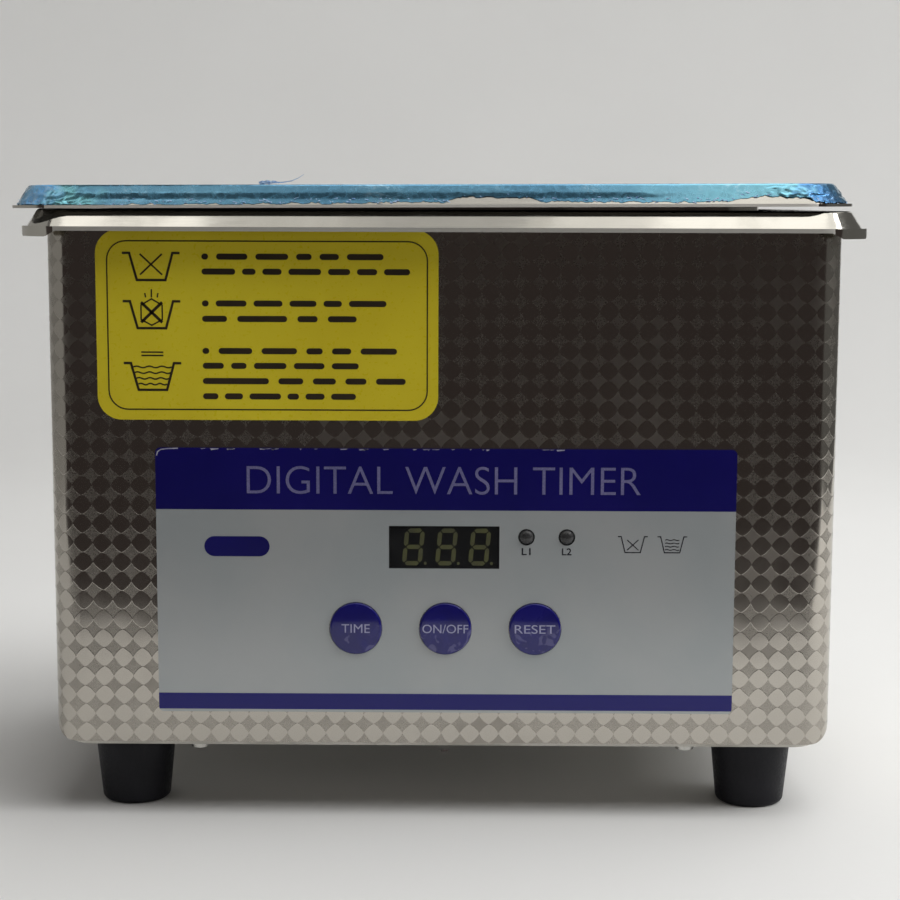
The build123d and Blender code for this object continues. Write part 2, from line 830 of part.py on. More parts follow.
with BuildPart() as driver_board:
    with BuildSketch(driver_centre):
        Rectangle(driver_right - driver_left, 2 * driver_half_depth)
        with GridLocations(driver_hole_span, driver_hole_depth, 2, 2):
            Circle(m3_clearance, mode=Mode.SUBTRACT)
    extrude(amount=board_thickness)
save(driver_board, "driver_board")

with BuildPart() as driver_board_standoffs:
    with BuildSketch(driver_centre):
        with GridLocations(driver_hole_span, driver_hole_depth, 2, 2):
            RegularPolygon(standoff_radius, 6)
            Circle(m3_bore, mode=Mode.SUBTRACT)
    extrude(amount=casing_bottom - driver_level)
save(driver_board_standoffs, "driver_board_standoffs")

with BuildPart() as driver_board_screws:
    with BuildSketch(driver_centre.offset(board_thickness)):
        with GridLocations(driver_hole_span, driver_hole_depth, 2, 2):
            Circle(m3_head)
    extrude(amount=m3_head_height)
    with BuildSketch(driver_centre.offset(board_thickness)):
        with GridLocations(driver_hole_span, driver_hole_depth, 2, 2):
            Circle(m3_shank)
    extrude(amount=-board_thickness - m3_bite)
save(driver_board_screws, "driver_board_screws")

can_place = (-57.0, -14.0)
can_radius = 9.0
can_height = 27.0
can_edge = 0.8
vent_length = 11.0
vent_width = 0.6
vent_depth = 0.4
with BuildPart() as bulk_capacitor:
    with BuildSketch(Plane((*can_place, driver_top))):
        Circle(can_radius)
    extrude(amount=can_height)
    fillet(bulk_capacitor.edges().filter_by(GeomType.CIRCLE), can_edge)
    # Pressed vent cross on the top
    with BuildSketch(Plane((*can_place, driver_top + can_height))):
        Rectangle(vent_length, vent_width)
        Rectangle(vent_width, vent_length)
    extrude(amount=-vent_depth, mode=Mode.SUBTRACT)
save(bulk_capacitor, "bulk_capacitor")

box_capacitor_place = (-38.0, -12.0)
box_capacitor_length = 13.0
box_capacitor_width = 7.0
box_capacitor_height = 12.0
with BuildPart() as film_capacitor:
    with BuildSketch(Plane((*box_capacitor_place, driver_top))):
        RectangleRounded(box_capacitor_length, box_capacitor_width, can_edge)
    extrude(amount=box_capacitor_height)
save(film_capacitor, "film_capacitor")

transformer_x = -44
transformer_y = 12
leg_width = 7.0
core_window = 6.0
core_side = 3.0
core_bar = 3.5
core_window_height = 13.0
core_height = core_window_height + 2 * core_bar
core_width = leg_width + 2 * (core_window + core_side)
winding_gap = 0.3
winding_side = leg_width + 2 * (core_window - winding_gap)
winding_corner = 3.0

with BuildPart() as transformer_core:
    with BuildSketch(Plane.XZ.offset(-transformer_y)):
        with Locations((transformer_x, driver_top + core_height / 2)):
            Rectangle(core_width, core_height)
            with GridLocations(leg_width + core_window, 0, 2, 1):
                Rectangle(core_window, core_window_height, mode=Mode.SUBTRACT)
    extrude(amount=leg_width / 2, both=True)
save(transformer_core, "transformer_core")

with BuildPart() as transformer_winding:
    with BuildSketch(Plane((transformer_x, transformer_y, driver_top + core_bar + winding_gap))):
        RectangleRounded(winding_side, winding_side, winding_corner)
        Rectangle(leg_width + winding_gap / 3, leg_width + winding_gap / 3, mode=Mode.SUBTRACT)
    extrude(amount=core_window_height - 2 * winding_gap)
save(transformer_winding, "transformer_winding")

heatsink_face = -62.0
heatsink_y = 9.0
heatsink_base = 2.0
heatsink_width = 22.0
heatsink_height = 25.0
fin_length = 6.0
fin_thickness = 1.1
fin_pitch = 5.2
fin_count = 5
fin_root = 0.5
with BuildPart() as heatsink:
    with BuildSketch(Plane((heatsink_face - heatsink_base / 2, heatsink_y, driver_top))):
        Rectangle(heatsink_base, heatsink_width)
        with Locations((-(heatsink_base + fin_length) / 2 + fin_root, 0)):
            with GridLocations(0, fin_pitch, 1, fin_count):
                Rectangle(fin_length, fin_thickness)
    extrude(amount=heatsink_height)
save(heatsink, "heatsink")

# Two transistors in the usual package with a metal tab, their backs on the heatsink
transistor_ys = (3.5, 14.5)
package_width = 9.6
package_thickness = 4.4
package_height = 9.0
package_tab = 1.3
package_tab_height = 6.0
package_lead = (0.5, 0.8)
package_lead_x = 2.6
package_lead_length = 5.0
package_lead_pitch = 2.54
package_level = driver_top + package_lead_length
tab_level = package_level + package_height
with BuildPart() as power_transistors:
    for y in transistor_ys:
        with BuildSketch(Plane((heatsink_face + package_thickness / 2, y, package_level))):
            Rectangle(package_thickness, package_width)
        extrude(amount=package_height)
        with BuildSketch(Plane((heatsink_face + package_tab / 2, y, tab_level))):
            Rectangle(package_tab, package_width)
        extrude(amount=package_tab_height)
        with BuildSketch(Plane((heatsink_face + package_lead_x, y, driver_top))):
            with GridLocations(0, package_lead_pitch, 1, 3):
                Rectangle(*package_lead)
        extrude(amount=package_lead_length)
save(power_transistors, "power_transistors")

bridge_place = (-38.5, -2.8)
bridge_length = 15.0
bridge_thickness = 3.6
bridge_height = 10.5
bridge_lead_length = 2.5
bridge_lead_radius = 0.4
bridge_lead_pitch = 3.8
with BuildPart() as bridge_rectifier:
    with BuildSketch(Plane((*bridge_place, driver_top + bridge_lead_length))):
        Rectangle(bridge_length, bridge_thickness)
    extrude(amount=bridge_height)
    with BuildSketch(Plane((*bridge_place, driver_top))):
        with GridLocations(bridge_lead_pitch, 0, 4, 1):
            Circle(bridge_lead_radius)
    extrude(amount=bridge_lead_length)
save(bridge_rectifier, "bridge_rectifier")

mains_block_x = -27.6
mains_block_back = 14.0
mains_block_width = 7.2
mains_block_length = 10.0
mains_block_height = 9.0
output_block_place = (-36.0, -24.0)
output_block_length = 10.0
output_block_width = 7.0
output_block_height = 8.0
output_block_top = driver_top + output_block_height
with BuildPart() as terminal_blocks:
    with BuildSketch(Plane((mains_block_x, mains_block_back - mains_block_length / 2, driver_top))):
        Rectangle(mains_block_width, mains_block_length)
    extrude(amount=mains_block_height)
    with BuildSketch(Plane((*output_block_place, driver_top))):
        Rectangle(output_block_length, output_block_width)
    extrude(amount=output_block_height)
save(terminal_blocks, "terminal_blocks")

fuse_x = -27.4
fuse_y = -8.0
fuse_z = driver_top + 4
fuse_radius = 2.5
fuse_half_length = 10.0
clip_spacing = 14.5
clip_width = 6.2
clip_length = 4.0
clip_height = 5.2
with BuildPart() as fuse:
    with BuildSketch(Plane.XZ.offset(-fuse_y)):
        with Locations((fuse_x, fuse_z)):
            Circle(fuse_radius)
    extrude(amount=fuse_half_length, both=True)
save(fuse, "fuse")

with BuildPart() as fuse_clips:
    with BuildSketch(Plane((fuse_x, fuse_y, driver_top))):
        with GridLocations(0, clip_spacing, 1, 2):
            Rectangle(clip_width, clip_length)
    extrude(amount=clip_height)
    with BuildSketch(Plane.XZ.offset(-fuse_y)):
        with Locations((fuse_x, fuse_z)):
            Circle(fuse_radius)
    extrude(amount=clip_spacing, both=True, mode=Mode.SUBTRACT)
save(fuse_clips, "fuse_clips")

header_x = -46.0
header_y = -25.0
header_z = 44.0
header_height = 5.5
header_size = (8.0, 5.0)
control_board_back = -casing_depth / 2 + control_board_gap + board_thickness
with BuildPart() as board_headers:
    with BuildSketch(Plane((header_x, header_y, driver_top))):
        Rectangle(*header_size)
    extrude(amount=header_height)
    with BuildSketch(front.offset(-control_board_gap - board_thickness)):
        with Locations((header_x, header_z)):
            Rectangle(*header_size)
    extrude(amount=-header_height)
save(board_headers, "board_headers")

# ---------------------------------------------------------------- transducer, hanging under the tank
front_mass_low = tank_underside - front_mass_height
upper_piezo_top = front_mass_low - electrode_height
lower_piezo_top = upper_piezo_top - piezo_height - electrode_height
back_mass_top = lower_piezo_top - piezo_height - electrode_height
back_mass_low = back_mass_top - back_mass_height

with BuildPart() as transducer_front_mass:
    with BuildSketch(Plane.XY.offset(front_mass_low)):
        Circle(front_mass_low_radius)
    with BuildSketch(Plane.XY.offset(tank_underside)):
        Circle(front_mass_top_radius)
    loft()
    with BuildSketch(Plane.XY.offset(front_mass_low)):
        Circle(bolt_radius)
    extrude(amount=bolt_drilling, mode=Mode.SUBTRACT)
save(transducer_front_mass, "transducer_front_mass")

with BuildPart() as piezo_rings:
    for top in (upper_piezo_top, lower_piezo_top):
        with BuildSketch(Plane.XY.offset(top)):
            Circle(piezo_radius)
            Circle(piezo_bore, mode=Mode.SUBTRACT)
        extrude(amount=-piezo_height)
save(piezo_rings, "piezo_rings")

electrode_levels = (
    (front_mass_low, 205),
    (upper_piezo_top - piezo_height, 225),
    (lower_piezo_top - piezo_height, 245),
)
with BuildPart() as electrode_rings:
    for level, angle in electrode_levels:
        with BuildSketch(Plane.XY.offset(level)):
            Circle(piezo_radius)
            with Locations(Location((0, 0), angle)):
                with Locations((tab_reach - tab_width, 0)):
                    Rectangle(2 * tab_width, tab_width)
            Circle(piezo_bore, mode=Mode.SUBTRACT)
        extrude(amount=-electrode_height)
save(electrode_rings, "electrode_rings")

with BuildPart() as transducer_back_mass:
    with BuildSketch(Plane.XY.offset(back_mass_low)):
        Circle(piezo_radius + 0.5)
        Circle(bolt_radius + 0.3, mode=Mode.SUBTRACT)
    extrude(amount=back_mass_height)
    lower_circles = transducer_back_mass.edges().filter_by(GeomType.CIRCLE).group_by(Axis.Z)[0]
    chamfer(lower_circles.sort_by(SortBy.RADIUS)[-1], 1)
save(transducer_back_mass, "transducer_back_mass")

with BuildPart() as transducer_bolt:
    with BuildSketch(Plane.XY.offset(back_mass_low)):
        Circle(bolt_head_radius)
    extrude(amount=-bolt_head_height)
    with BuildSketch(Plane.XY.offset(back_mass_low - bolt_head_height)):
        RegularPolygon(bolt_socket, 6, major_radius=False)
    extrude(amount=bolt_socket, mode=Mode.SUBTRACT)
    with BuildSketch(Plane.XY.offset(back_mass_low)):
        Circle(bolt_radius - thread_gap)
    extrude(amount=front_mass_low - back_mass_low + bolt_engagement)
save(transducer_bolt, "transducer_bolt")

# ---------------------------------------------------------------- mains inlet
with BuildPart() as inlet_body:
    with BuildSketch(inlet_plane):
        RectangleRounded(inlet_flange_width, inlet_flange_height, inlet_corner)
    extrude(amount=inlet_flange_thickness)
    with BuildSketch(inlet_plane):
        Rectangle(inlet_body_width, inlet_body_height)
    extrude(amount=-inlet_body_depth)
    # Socket with its two cut lower corners
    with BuildSketch(inlet_plane.offset(inlet_flange_thickness)):
        with BuildLine():
            Polyline(
                (-socket_width / 2, -socket_height / 2 + socket_cut),
                (-socket_width / 2 + socket_cut, -socket_height / 2),
                (socket_width / 2 - socket_cut, -socket_height / 2),
                (socket_width / 2, -socket_height / 2 + socket_cut),
                (socket_width / 2, socket_height / 2),
                (-socket_width / 2, socket_height / 2),
                close=True,
            )
        make_face()
    extrude(amount=-socket_depth, mode=Mode.SUBTRACT)
    with BuildSketch(inlet_plane.offset(-inlet_body_depth)):
        with Locations(*pin_offsets):
            Rectangle(*pin_size)
    extrude(amount=inlet_body_depth, mode=Mode.SUBTRACT)
    with BuildSketch(inlet_plane):
        with GridLocations(inlet_screw_pitch, 0, 2, 1):
            Circle(m3_clearance)
    extrude(amount=inlet_flange_thickness, mode=Mode.SUBTRACT)
    with BuildSketch(inlet_plane.offset(inlet_flange_thickness)):
        with GridLocations(inlet_screw_pitch, 0, 2, 1):
            Circle(m3_head + m3_washer_gap)
    extrude(amount=-m3_head_height, mode=Mode.SUBTRACT)
save(inlet_body, "inlet_body")

with BuildPart() as inlet_pins:
    with BuildSketch(inlet_plane.offset(-inlet_body_depth)):
        with Locations(*pin_offsets):
            Rectangle(*pin_size)
    extrude(amount=inlet_body_depth)
    with BuildSketch(inlet_plane.offset(-inlet_body_depth)):
        with Locations(*pin_offsets):
            Rectangle(*tab_size)
    extrude(amount=inlet_body_depth - tab_end)
save(inlet_pins, "inlet_pins")

with BuildPart() as inlet_screws:
    screw_seat = inlet_flange_thickness - m3_head_height
    with BuildSketch(inlet_plane.offset(screw_seat)):
        with GridLocations(inlet_screw_pitch, 0, 2, 1):
            Circle(m3_head)
    extrude(amount=m3_head_height - inlet_gap)
    with BuildSketch(inlet_plane.offset(screw_seat)):
        with GridLocations(inlet_screw_pitch, 0, 2, 1):
            Circle(m3_shank)
    extrude(amount=-inlet_screw_length)
save(inlet_screws, "inlet_screws")

# ---------------------------------------------------------------- earth stud, terminals and wires
sleeve_start = 18.0
sleeve_end = 28.9
sleeve_size = (3.2, 8.0)
eyelet_radius = 4.0
barrel_radius = 1.6
barrel_length = 4.0
barrel_z = 18.1
barrel_end = earth_y + 9

with BuildPart() as earth_stud:
    with BuildSketch(Plane((earth_x, earth_y, plate_bottom))):
        Circle(foot_screw_head)
    extrude(amount=-m3_head_height, taper=head_taper)
    with BuildSketch(Plane((earth_x, earth_y, plate_bottom))):
        Circle(foot_screw_radius)
    extrude(amount=stud_length)
    with BuildSketch(Plane((earth_x, earth_y, casing_bottom + terminal_thickness))):
        RegularPolygon(m4_nut_half_flats, 6, major_radius=False)
        Circle(foot_screw_radius + thread_gap, mode=Mode.SUBTRACT)
    extrude(amount=m4_nut_height)
save(earth_stud, "earth_stud")

with BuildPart() as wire_terminals:
    with BuildSketch(inlet_plane.offset(-sleeve_start)):
        with Locations(*pin_offsets):
            Rectangle(*sleeve_size)
    extrude(amount=sleeve_start - sleeve_end)
    with BuildSketch(inlet_plane.offset(-sleeve_start)):
        with Locations(*pin_offsets):
            Rectangle(*tab_size)
    extrude(amount=sleeve_start - tab_end, mode=Mode.SUBTRACT)
    with BuildSketch(Plane((earth_x, earth_y, casing_bottom))):
        Circle(eyelet_radius)
        with Locations((0, eyelet_radius + barrel_length / 4)):
            Rectangle(2 * barrel_radius, barrel_length)
        Circle(foot_screw_radius + thread_gap, mode=Mode.SUBTRACT)
    extrude(amount=terminal_thickness)
    with BuildSketch(Plane.XZ.offset(-barrel_end)):
        with Locations((earth_x, barrel_z)):
            Circle(barrel_radius)
    extrude(amount=barrel_length)
save(wire_terminals, "wire_terminals")

sleeve_y = casing_depth / 2 - sleeve_end
live_points = [
    (inlet_x - 7, sleeve_y, inlet_z - 2),
    (33, 14, 36),
    (20, 20.5, 36),
    (8, 28, 35),
    (-12, 29.5, 33),
    (-29.4, 27, 31.5),
    (-29.4, mains_block_back, 31.5),
]
neutral_points = [
    (inlet_x + 7, sleeve_y, inlet_z - 2),
    (47, 16, 36),
    (46, 10, 33.5),
    (34, 8, 31),
    (22, 15, 30),
    (8, 22.6, 30),
    (-10, 23, 30),
    (-25.8, 22.6, 31.5),
    (-25.8, mains_block_back, 31.5),
]
earth_points = [
    (inlet_x, sleeve_y, inlet_z + 2),
    (40, 15.5, inlet_z + 2),
    (45, 9.5, 42.5),
    (56, 10, 42.5),
    (62, 15, 34),
    (62, 17, 24),
    (60, 12, barrel_z),
    (earth_x, barrel_end, barrel_z),
]

for wire_name, route in (
    ("live_wire", live_points),
    ("neutral_wire", neutral_points),
    ("earth_wire", earth_points),
):
    with BuildPart() as wire:
        with BuildLine() as wire_path:
            FilletPolyline(*route, radius=bend_radii(route))
        with BuildSketch(Plane(wire_path.wires()[0] @ 0, z_dir=wire_path.wires()[0] % 0)):
            Circle(wire_radius)
        sweep()
    save(wire, wire_name)


def lead_start(level, angle):
    """The end of an electrode's tab, half way up its thickness."""
    turn = radians(angle)
    return (tab_reach * cos(turn), tab_reach * sin(turn), level - electrode_height / 2)


lead_routes = (
    (
        lead_start(*electrode_levels[0]),
        (-25.5, -12, 47),
        (-33, -19, 46),
        (-38.5, -24, 42),
        (-38.5, -24, output_block_top),
    ),
    (
        lead_start(*electrode_levels[1]),
        (-20.5, -20.5, 40.5),
        (-28, -24, 43),
        (-33.5, -24, 41),
        (-33.5, -24, output_block_top),
    ),
)
with BuildPart() as transducer_leads:
    for route in lead_routes:
        with BuildLine() as lead_path:
            FilletPolyline(*route, radius=bend_radii(route))
        with BuildSketch(Plane(lead_path.wires()[0] @ 0, z_dir=lead_path.wires()[0] % 0)):
            Circle(lead_radius)
        sweep()
save(transducer_leads, "transducer_leads")

# Flat cable from the driver board up to the back of the control board
ribbon_width = 7.0
ribbon_thickness = 1.2
ribbon_bend = 5.0
ribbon_start = driver_top + header_height
ribbon_end = control_board_back + header_height
with BuildPart() as ribbon_cable:
    with BuildLine():
        FilletPolyline(
            (header_x, header_y, ribbon_start),
            (header_x, header_y, header_z),
            (header_x, ribbon_end, header_z),
            radius=ribbon_bend - ribbon_thickness,
        )
    with BuildSketch(Plane((header_x, header_y, ribbon_start))):
        Rectangle(ribbon_width, ribbon_thickness)
    sweep()
save(ribbon_cable, "ribbon_cable")
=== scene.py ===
import math
import random

import bpy
from mathutils import Matrix, Vector, noise


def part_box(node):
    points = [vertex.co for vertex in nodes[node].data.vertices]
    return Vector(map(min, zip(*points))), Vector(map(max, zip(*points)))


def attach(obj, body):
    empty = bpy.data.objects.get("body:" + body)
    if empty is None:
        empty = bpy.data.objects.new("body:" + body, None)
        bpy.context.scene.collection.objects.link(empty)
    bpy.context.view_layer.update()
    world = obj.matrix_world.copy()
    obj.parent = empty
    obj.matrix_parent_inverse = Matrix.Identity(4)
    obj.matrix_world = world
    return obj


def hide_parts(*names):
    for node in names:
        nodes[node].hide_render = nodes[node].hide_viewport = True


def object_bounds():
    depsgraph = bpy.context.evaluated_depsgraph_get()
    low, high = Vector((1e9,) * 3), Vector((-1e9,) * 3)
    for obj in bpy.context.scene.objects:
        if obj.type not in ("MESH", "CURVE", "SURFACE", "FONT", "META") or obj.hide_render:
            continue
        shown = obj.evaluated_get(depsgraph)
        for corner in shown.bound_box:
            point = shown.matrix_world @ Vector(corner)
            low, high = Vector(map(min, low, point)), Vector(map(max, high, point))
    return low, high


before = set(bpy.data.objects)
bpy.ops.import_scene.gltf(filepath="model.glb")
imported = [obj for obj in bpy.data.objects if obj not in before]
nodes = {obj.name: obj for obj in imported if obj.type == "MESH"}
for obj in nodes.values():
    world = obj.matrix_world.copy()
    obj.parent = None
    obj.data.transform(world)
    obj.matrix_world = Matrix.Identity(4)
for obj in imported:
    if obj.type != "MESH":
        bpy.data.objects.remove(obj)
cad_low, cad_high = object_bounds()

MM = 0.001
scene = bpy.context.scene
random.seed(11)

# ---------------------------------------------------------------- sizes, in millimetres
def corners(node):
    """Lowest and highest corners of a CAD node at rest."""
    low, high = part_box(node)
    return low / MM, high / MM


casing_low, casing_high = corners("outer_casing")
CASING_WIDTH, CASING_DEPTH, _ = casing_high - casing_low
CASING_CORNER = 6.5
# The rolled pattern: its pitch, where a diamond starts along x and z, and how round the diamonds are.
EMBOSS_PITCH, EMBOSS_X, EMBOSS_Z, EMBOSS_ROUND = 4.1, 1.75, 2.2, 1.3
PANEL_FACE = corners("panel_overlay")[0].y
LABEL_FACE = corners("instruction_label")[0].y
# Heights of the panel's printed header and foot stripe
HEADER_LOW = 67.0
STRIPE_LOW, STRIPE_HIGH = 23.9, 27.4

tank_low, tank_high = corners("tank")
RIM_WIDTH, RIM_DEPTH, _ = tank_high - tank_low
# How much of a sheet's outer edge has lost its polish; this edge is also painted lighter, a painted highlight
SHEARED_EDGE = 0.3

# The lid in its own frame, whose origin is in the middle of the brim's underside
LID_WIDTH, LID_DEPTH, LID_CORNER = 176.6, 109.6, 11.5
LID_SHEET, LID_BRIM, LID_BEVEL_RUN, LID_HEIGHT = 0.6, 1.2, 3.0, 4.7
LID_DISH_LENGTH, LID_DISH_WIDTH, LID_DISH_DEPTH, LID_DISH_CORNER = 142.4, 79.0, 6.0, 13.0
LID_TILT = math.radians(0.3)
lid_low, lid_high = corners("lid")
LID_ORIGIN = (lid_low + lid_high) / 2
# The highest corner of the tilted lid is the right end of its flat top.
LID_TOP_REACH = LID_WIDTH / 2 - LID_BRIM - LID_BEVEL_RUN
LID_ORIGIN.z = lid_high.z - LID_HEIGHT * math.cos(LID_TILT) - LID_TOP_REACH * math.sin(LID_TILT)


# ---------------------------------------------------------------- procedural finishes
class Finish:
    """One procedural material, with short calls for the nodes that it is made of."""

    def __init__(self, name, metallic=0.0, **sockets):
        self.material = bpy.data.materials.new(name)
        self.material.use_nodes = True
        self.tree = self.material.node_tree
        self.shader = self.tree.nodes["Principled BSDF"]
        self.shader.inputs["Metallic"].default_value = metallic
        for socket, value in sockets.items():
            self.shader.inputs[socket.replace("_", " ")].default_value = value
        self.place = self.tree.nodes.new("ShaderNodeTexCoord").outputs["Object"]

    def add(self, kind, links, **settings):
        node = self.tree.nodes.new(kind)
        for setting, value in settings.items():
            setattr(node, setting, value)
        for socket, value in links.items():
            if isinstance(value, bpy.types.NodeSocket):
                self.tree.links.new(value, node.inputs[socket])
            else:
                node.inputs[socket].default_value = value
        return node

    def math(self, operation, a, b=0.0, clamp=False):
        return self.add("ShaderNodeMath", {0: a, 1: b}, operation=operation, use_clamp=clamp).outputs[0]

    def axes(self):
        return self.add("ShaderNodeSeparateXYZ", {0: self.place}).outputs

    def stretched(self, stretch):
        return self.add("ShaderNodeMapping", {"Vector": self.place, "Scale": stretch}).outputs[0]

    def noise(self, size, detail=3.0, stretch=(1, 1, 1), distortion=0.0):
        links = {"Vector": self.stretched(stretch), "Scale": 1 / (size * MM)}
        links.update({"Detail": detail, "Distortion": distortion})
        return self.add("ShaderNodeTexNoise", links).outputs[0]

    def cells(self, size, feature="F1"):
        links = {"Vector": self.place, "Scale": 1 / (size * MM)}
        return self.add("ShaderNodeTexVoronoi", links, feature=feature).outputs["Distance"]

    def ramp(self, value, low, high, start=0.0, end=1.0):
        links = {"Value": value, "From Min": low, "From Max": high, "To Min": start, "To Max": end}
        return self.add("ShaderNodeMapRange", links, interpolation_type="SMOOTHSTEP").outputs[0]

    def blend(self, factor, first, second):
        colours = {6: as_colour(first), 7: as_colour(second), 0: factor}
        return self.add("ShaderNodeMix", colours, data_type="RGBA").outputs[2]

    def mix(self, factor, first, second):
        values = {0: factor, 2: first, 3: second}
        return self.add("ShaderNodeMix", values, data_type="FLOAT").outputs[0]

    def link(self, socket, value):
        self.tree.links.new(value, self.shader.inputs[socket])

    def bump(self, height, depth, under=None):
        links = {"Height": height, "Distance": depth * MM, "Strength": 1.0}
        if under is not None:
            links["Normal"] = under
        return self.add("ShaderNodeBump", links).outputs[0]


def as_colour(value):
    return value if isinstance(value, bpy.types.NodeSocket) else (*value, 1.0)


def grained(name, light, dark, rough, grain=1.0, depth=0.01, stretch=(1, 1, 1), cloud=12.0, **sockets):
    """A finish with cloudy colour, uneven gloss and a fine grain, as most moulded or rolled parts have."""
    f = Finish(name, **sockets)
    fine = f.noise(grain, 4.0, stretch)
    wide = f.noise(cloud, 4.0)
    f.link("Base Color", f.blend(f.ramp(wide, 0.3, 0.7), dark, light))
    f.link("Roughness", f.ramp(fine, 0.3, 0.6, *rough))
    f.link("Normal", f.bump(fine, depth))
    return f


def steel(name, light, dark, rough, stretch=(1, 1, 30), grain=0.35, depth=0.0015):
    """Rolled stainless steel: fine parallel brushing, soft waves and a few smudges."""
    f = Finish(name, 1.0)
    brushing = f.noise(grain, 2.0, stretch)
    smudge = f.noise(14.0, 5.0, distortion=0.6)
    f.link("Base Color", f.blend(f.ramp(smudge, 0.35, 0.7), light, dark))
    dull = f.math("ADD", f.ramp(smudge, 0.45, 0.75, 0.0, 0.1), f.ramp(brushing, 0.3, 0.7, *rough))
    f.link("Roughness", dull)
    waves = f.bump(f.noise(22.0, 2.0), 0.02)
    f.link("Normal", f.bump(brushing, depth, waves))
    return f


def edged_steel(name, light, dark, rough, size, middle, edge, under=1.0):
    """Polished sheet whose sheared outer edge is duller than its faces and painted lighter, a painted
    highlight, and whose underside may be painted darker, a painted shade.
    """
    f = steel(name, light, dark, rough, (0.05, 1, 1))
    past = []
    for axis, length, centre in zip(f.axes(), size, middle):
        away = f.math("ABSOLUTE", f.math("SUBTRACT", f.math("DIVIDE", axis, MM), centre))
        past.append(f.math("GREATER_THAN", away, length / 2 - SHEARED_EDGE))
    sheared = f.math("MAXIMUM", *past)
    polish = f.shader.inputs["Roughness"].links[0].from_socket
    f.link("Roughness", f.mix(sheared, polish, 0.62))
    # The sheared edge is duller, and its lighter colour is a painted highlight.
    colour = f.shader.inputs["Base Color"].links[0].from_socket
    colour = f.blend(sheared, colour, edge)
    # Faces that point down blend to the dark tone times under: painted shade under the sheet.
    normal = f.add("ShaderNodeNewGeometry", {}).outputs["Normal"]
    painted_shade_below = f.ramp(f.add("ShaderNodeSeparateXYZ", {0: normal}).outputs[2], -0.3, -0.7)
    f.link("Base Color", f.blend(painted_shade_below, colour, tuple(under * c for c in dark)))
    return f


def embossed_steel(name):
    """Rolled sheet with polished diamonds in a matte ground, wrapped round the casing's corners."""
    f = Finish(name, 1.0)
    x, y, z = (f.math("DIVIDE", axis, MM) for axis in f.axes())
    past_x = f.math("SUBTRACT", f.math("ABSOLUTE", x), CASING_WIDTH / 2 - CASING_CORNER)
    past_y = f.math("SUBTRACT", f.math("ABSOLUTE", y), CASING_DEPTH / 2 - CASING_CORNER)
    turn = f.math("ARCTAN2", f.math("MAXIMUM", past_x, 0.0), f.math("MAXIMUM", past_y, 0.0))
    run = f.math("ADD", f.math("MINIMUM", past_x, 0.0), f.math("MULTIPLY", turn, CASING_CORNER))
    run = f.math("SUBTRACT", run, f.math("MINIMUM", past_y, 0.0))
    along = f.math("MULTIPLY", f.math("ADD", run, CASING_WIDTH / 2 - CASING_CORNER), f.math("SIGN", x))
    wobble = f.ramp(f.noise(2.5, 2.0), 0.0, 1.0, -0.2, 0.2)
    reach = []
    for travel, start in ((along, EMBOSS_X), (z, EMBOSS_Z)):
        uneven = f.math("SUBTRACT", f.math("ADD", travel, wobble), start)
        folded = f.math("PINGPONG", uneven, EMBOSS_PITCH / 2)
        reach.append(f.math("POWER", f.math("DIVIDE", folded, EMBOSS_PITCH / 2), EMBOSS_ROUND))
    raised = f.ramp(f.math("ADD", *reach), 1.06, 0.94)
    smudge = f.noise(20.0, 5.0, distortion=0.5)
    fine = f.noise(0.25, 2.0)
    ground = f.blend(f.ramp(smudge, 0.35, 0.7), (0.40, 0.375, 0.335), (0.35, 0.325, 0.29))
    f.link("Base Color", f.blend(raised, ground, (0.475, 0.445, 0.40)))
    matte = f.math("ADD", f.ramp(fine, 0.3, 0.7, 0.24, 0.29), f.ramp(smudge, 0.4, 0.7, 0.0, 0.05))
    polish = f.ramp(smudge, 0.4, 0.7, 0.11, 0.16)
    f.link("Roughness", f.mix(raised, matte, polish))
    waves = f.bump(f.noise(30.0, 2.0), 0.05)
    cut = f.bump(raised, 0.012, waves)
    f.link("Normal", f.bump(f.math("MULTIPLY", fine, f.math("SUBTRACT", 1.0, raised)), 0.0008, cut))
    return f


def printed_panel(name):
    """A screen-printed film: a dark blue header and foot stripe over pale grey, with a satin grain."""
    f = Finish(name, 0.0, Specular_IOR_Level=0.45)
    z = f.math("DIVIDE", f.axes()[2], MM)
    header = f.math("GREATER_THAN", z, HEADER_LOW)
    stripe = f.math("MULTIPLY", f.math("GREATER_THAN", z, STRIPE_LOW), f.math("LESS_THAN", z, STRIPE_HIGH))
    ink = f.math("ADD", header, stripe, clamp=True)
    wide = f.noise(26.0, 4.0)
    grey = f.blend(f.ramp(wide, 0.3, 0.7), (0.42, 0.455, 0.465), (0.465, 0.485, 0.49))
    blue = f.blend(f.ramp(wide, 0.3, 0.7), (0.003, 0.002, 0.10), (0.005, 0.003, 0.12))
    blue = f.blend(stripe, blue, (0.004, 0.003, 0.165))
    f.link("Base Color", f.blend(ink, grey, blue))
    fine = f.noise(0.9, 2.0)
    f.link("Roughness", f.ramp(fine, 0.2, 0.8, 0.22, 0.27))
    f.link("Metallic", f.math("MULTIPLY", f.math("SUBTRACT", 1.0, ink), 0.3))
    f.link("Normal", f.bump(fine, 0.0004, f.bump(wide, 0.06)))
    return f


# Where the film on the front of the lid changes colour, from one end to the other, in mm of x: painted
# reflection, cyan where it mirrors lighter surroundings and deep blue where darker, and painted light on the
# loose left end.
FILM_REFLECTION_BANDS = (
    (25.0, 70.0, (0.16, 0.41, 0.51)),
    (72.0, 76.0, (0.06, 0.20, 0.42)),
    (-70.0, -78.0, (0.17, 0.46, 0.52)),
    (-79.0, -84.0, (0.20, 0.54, 0.95)),
)


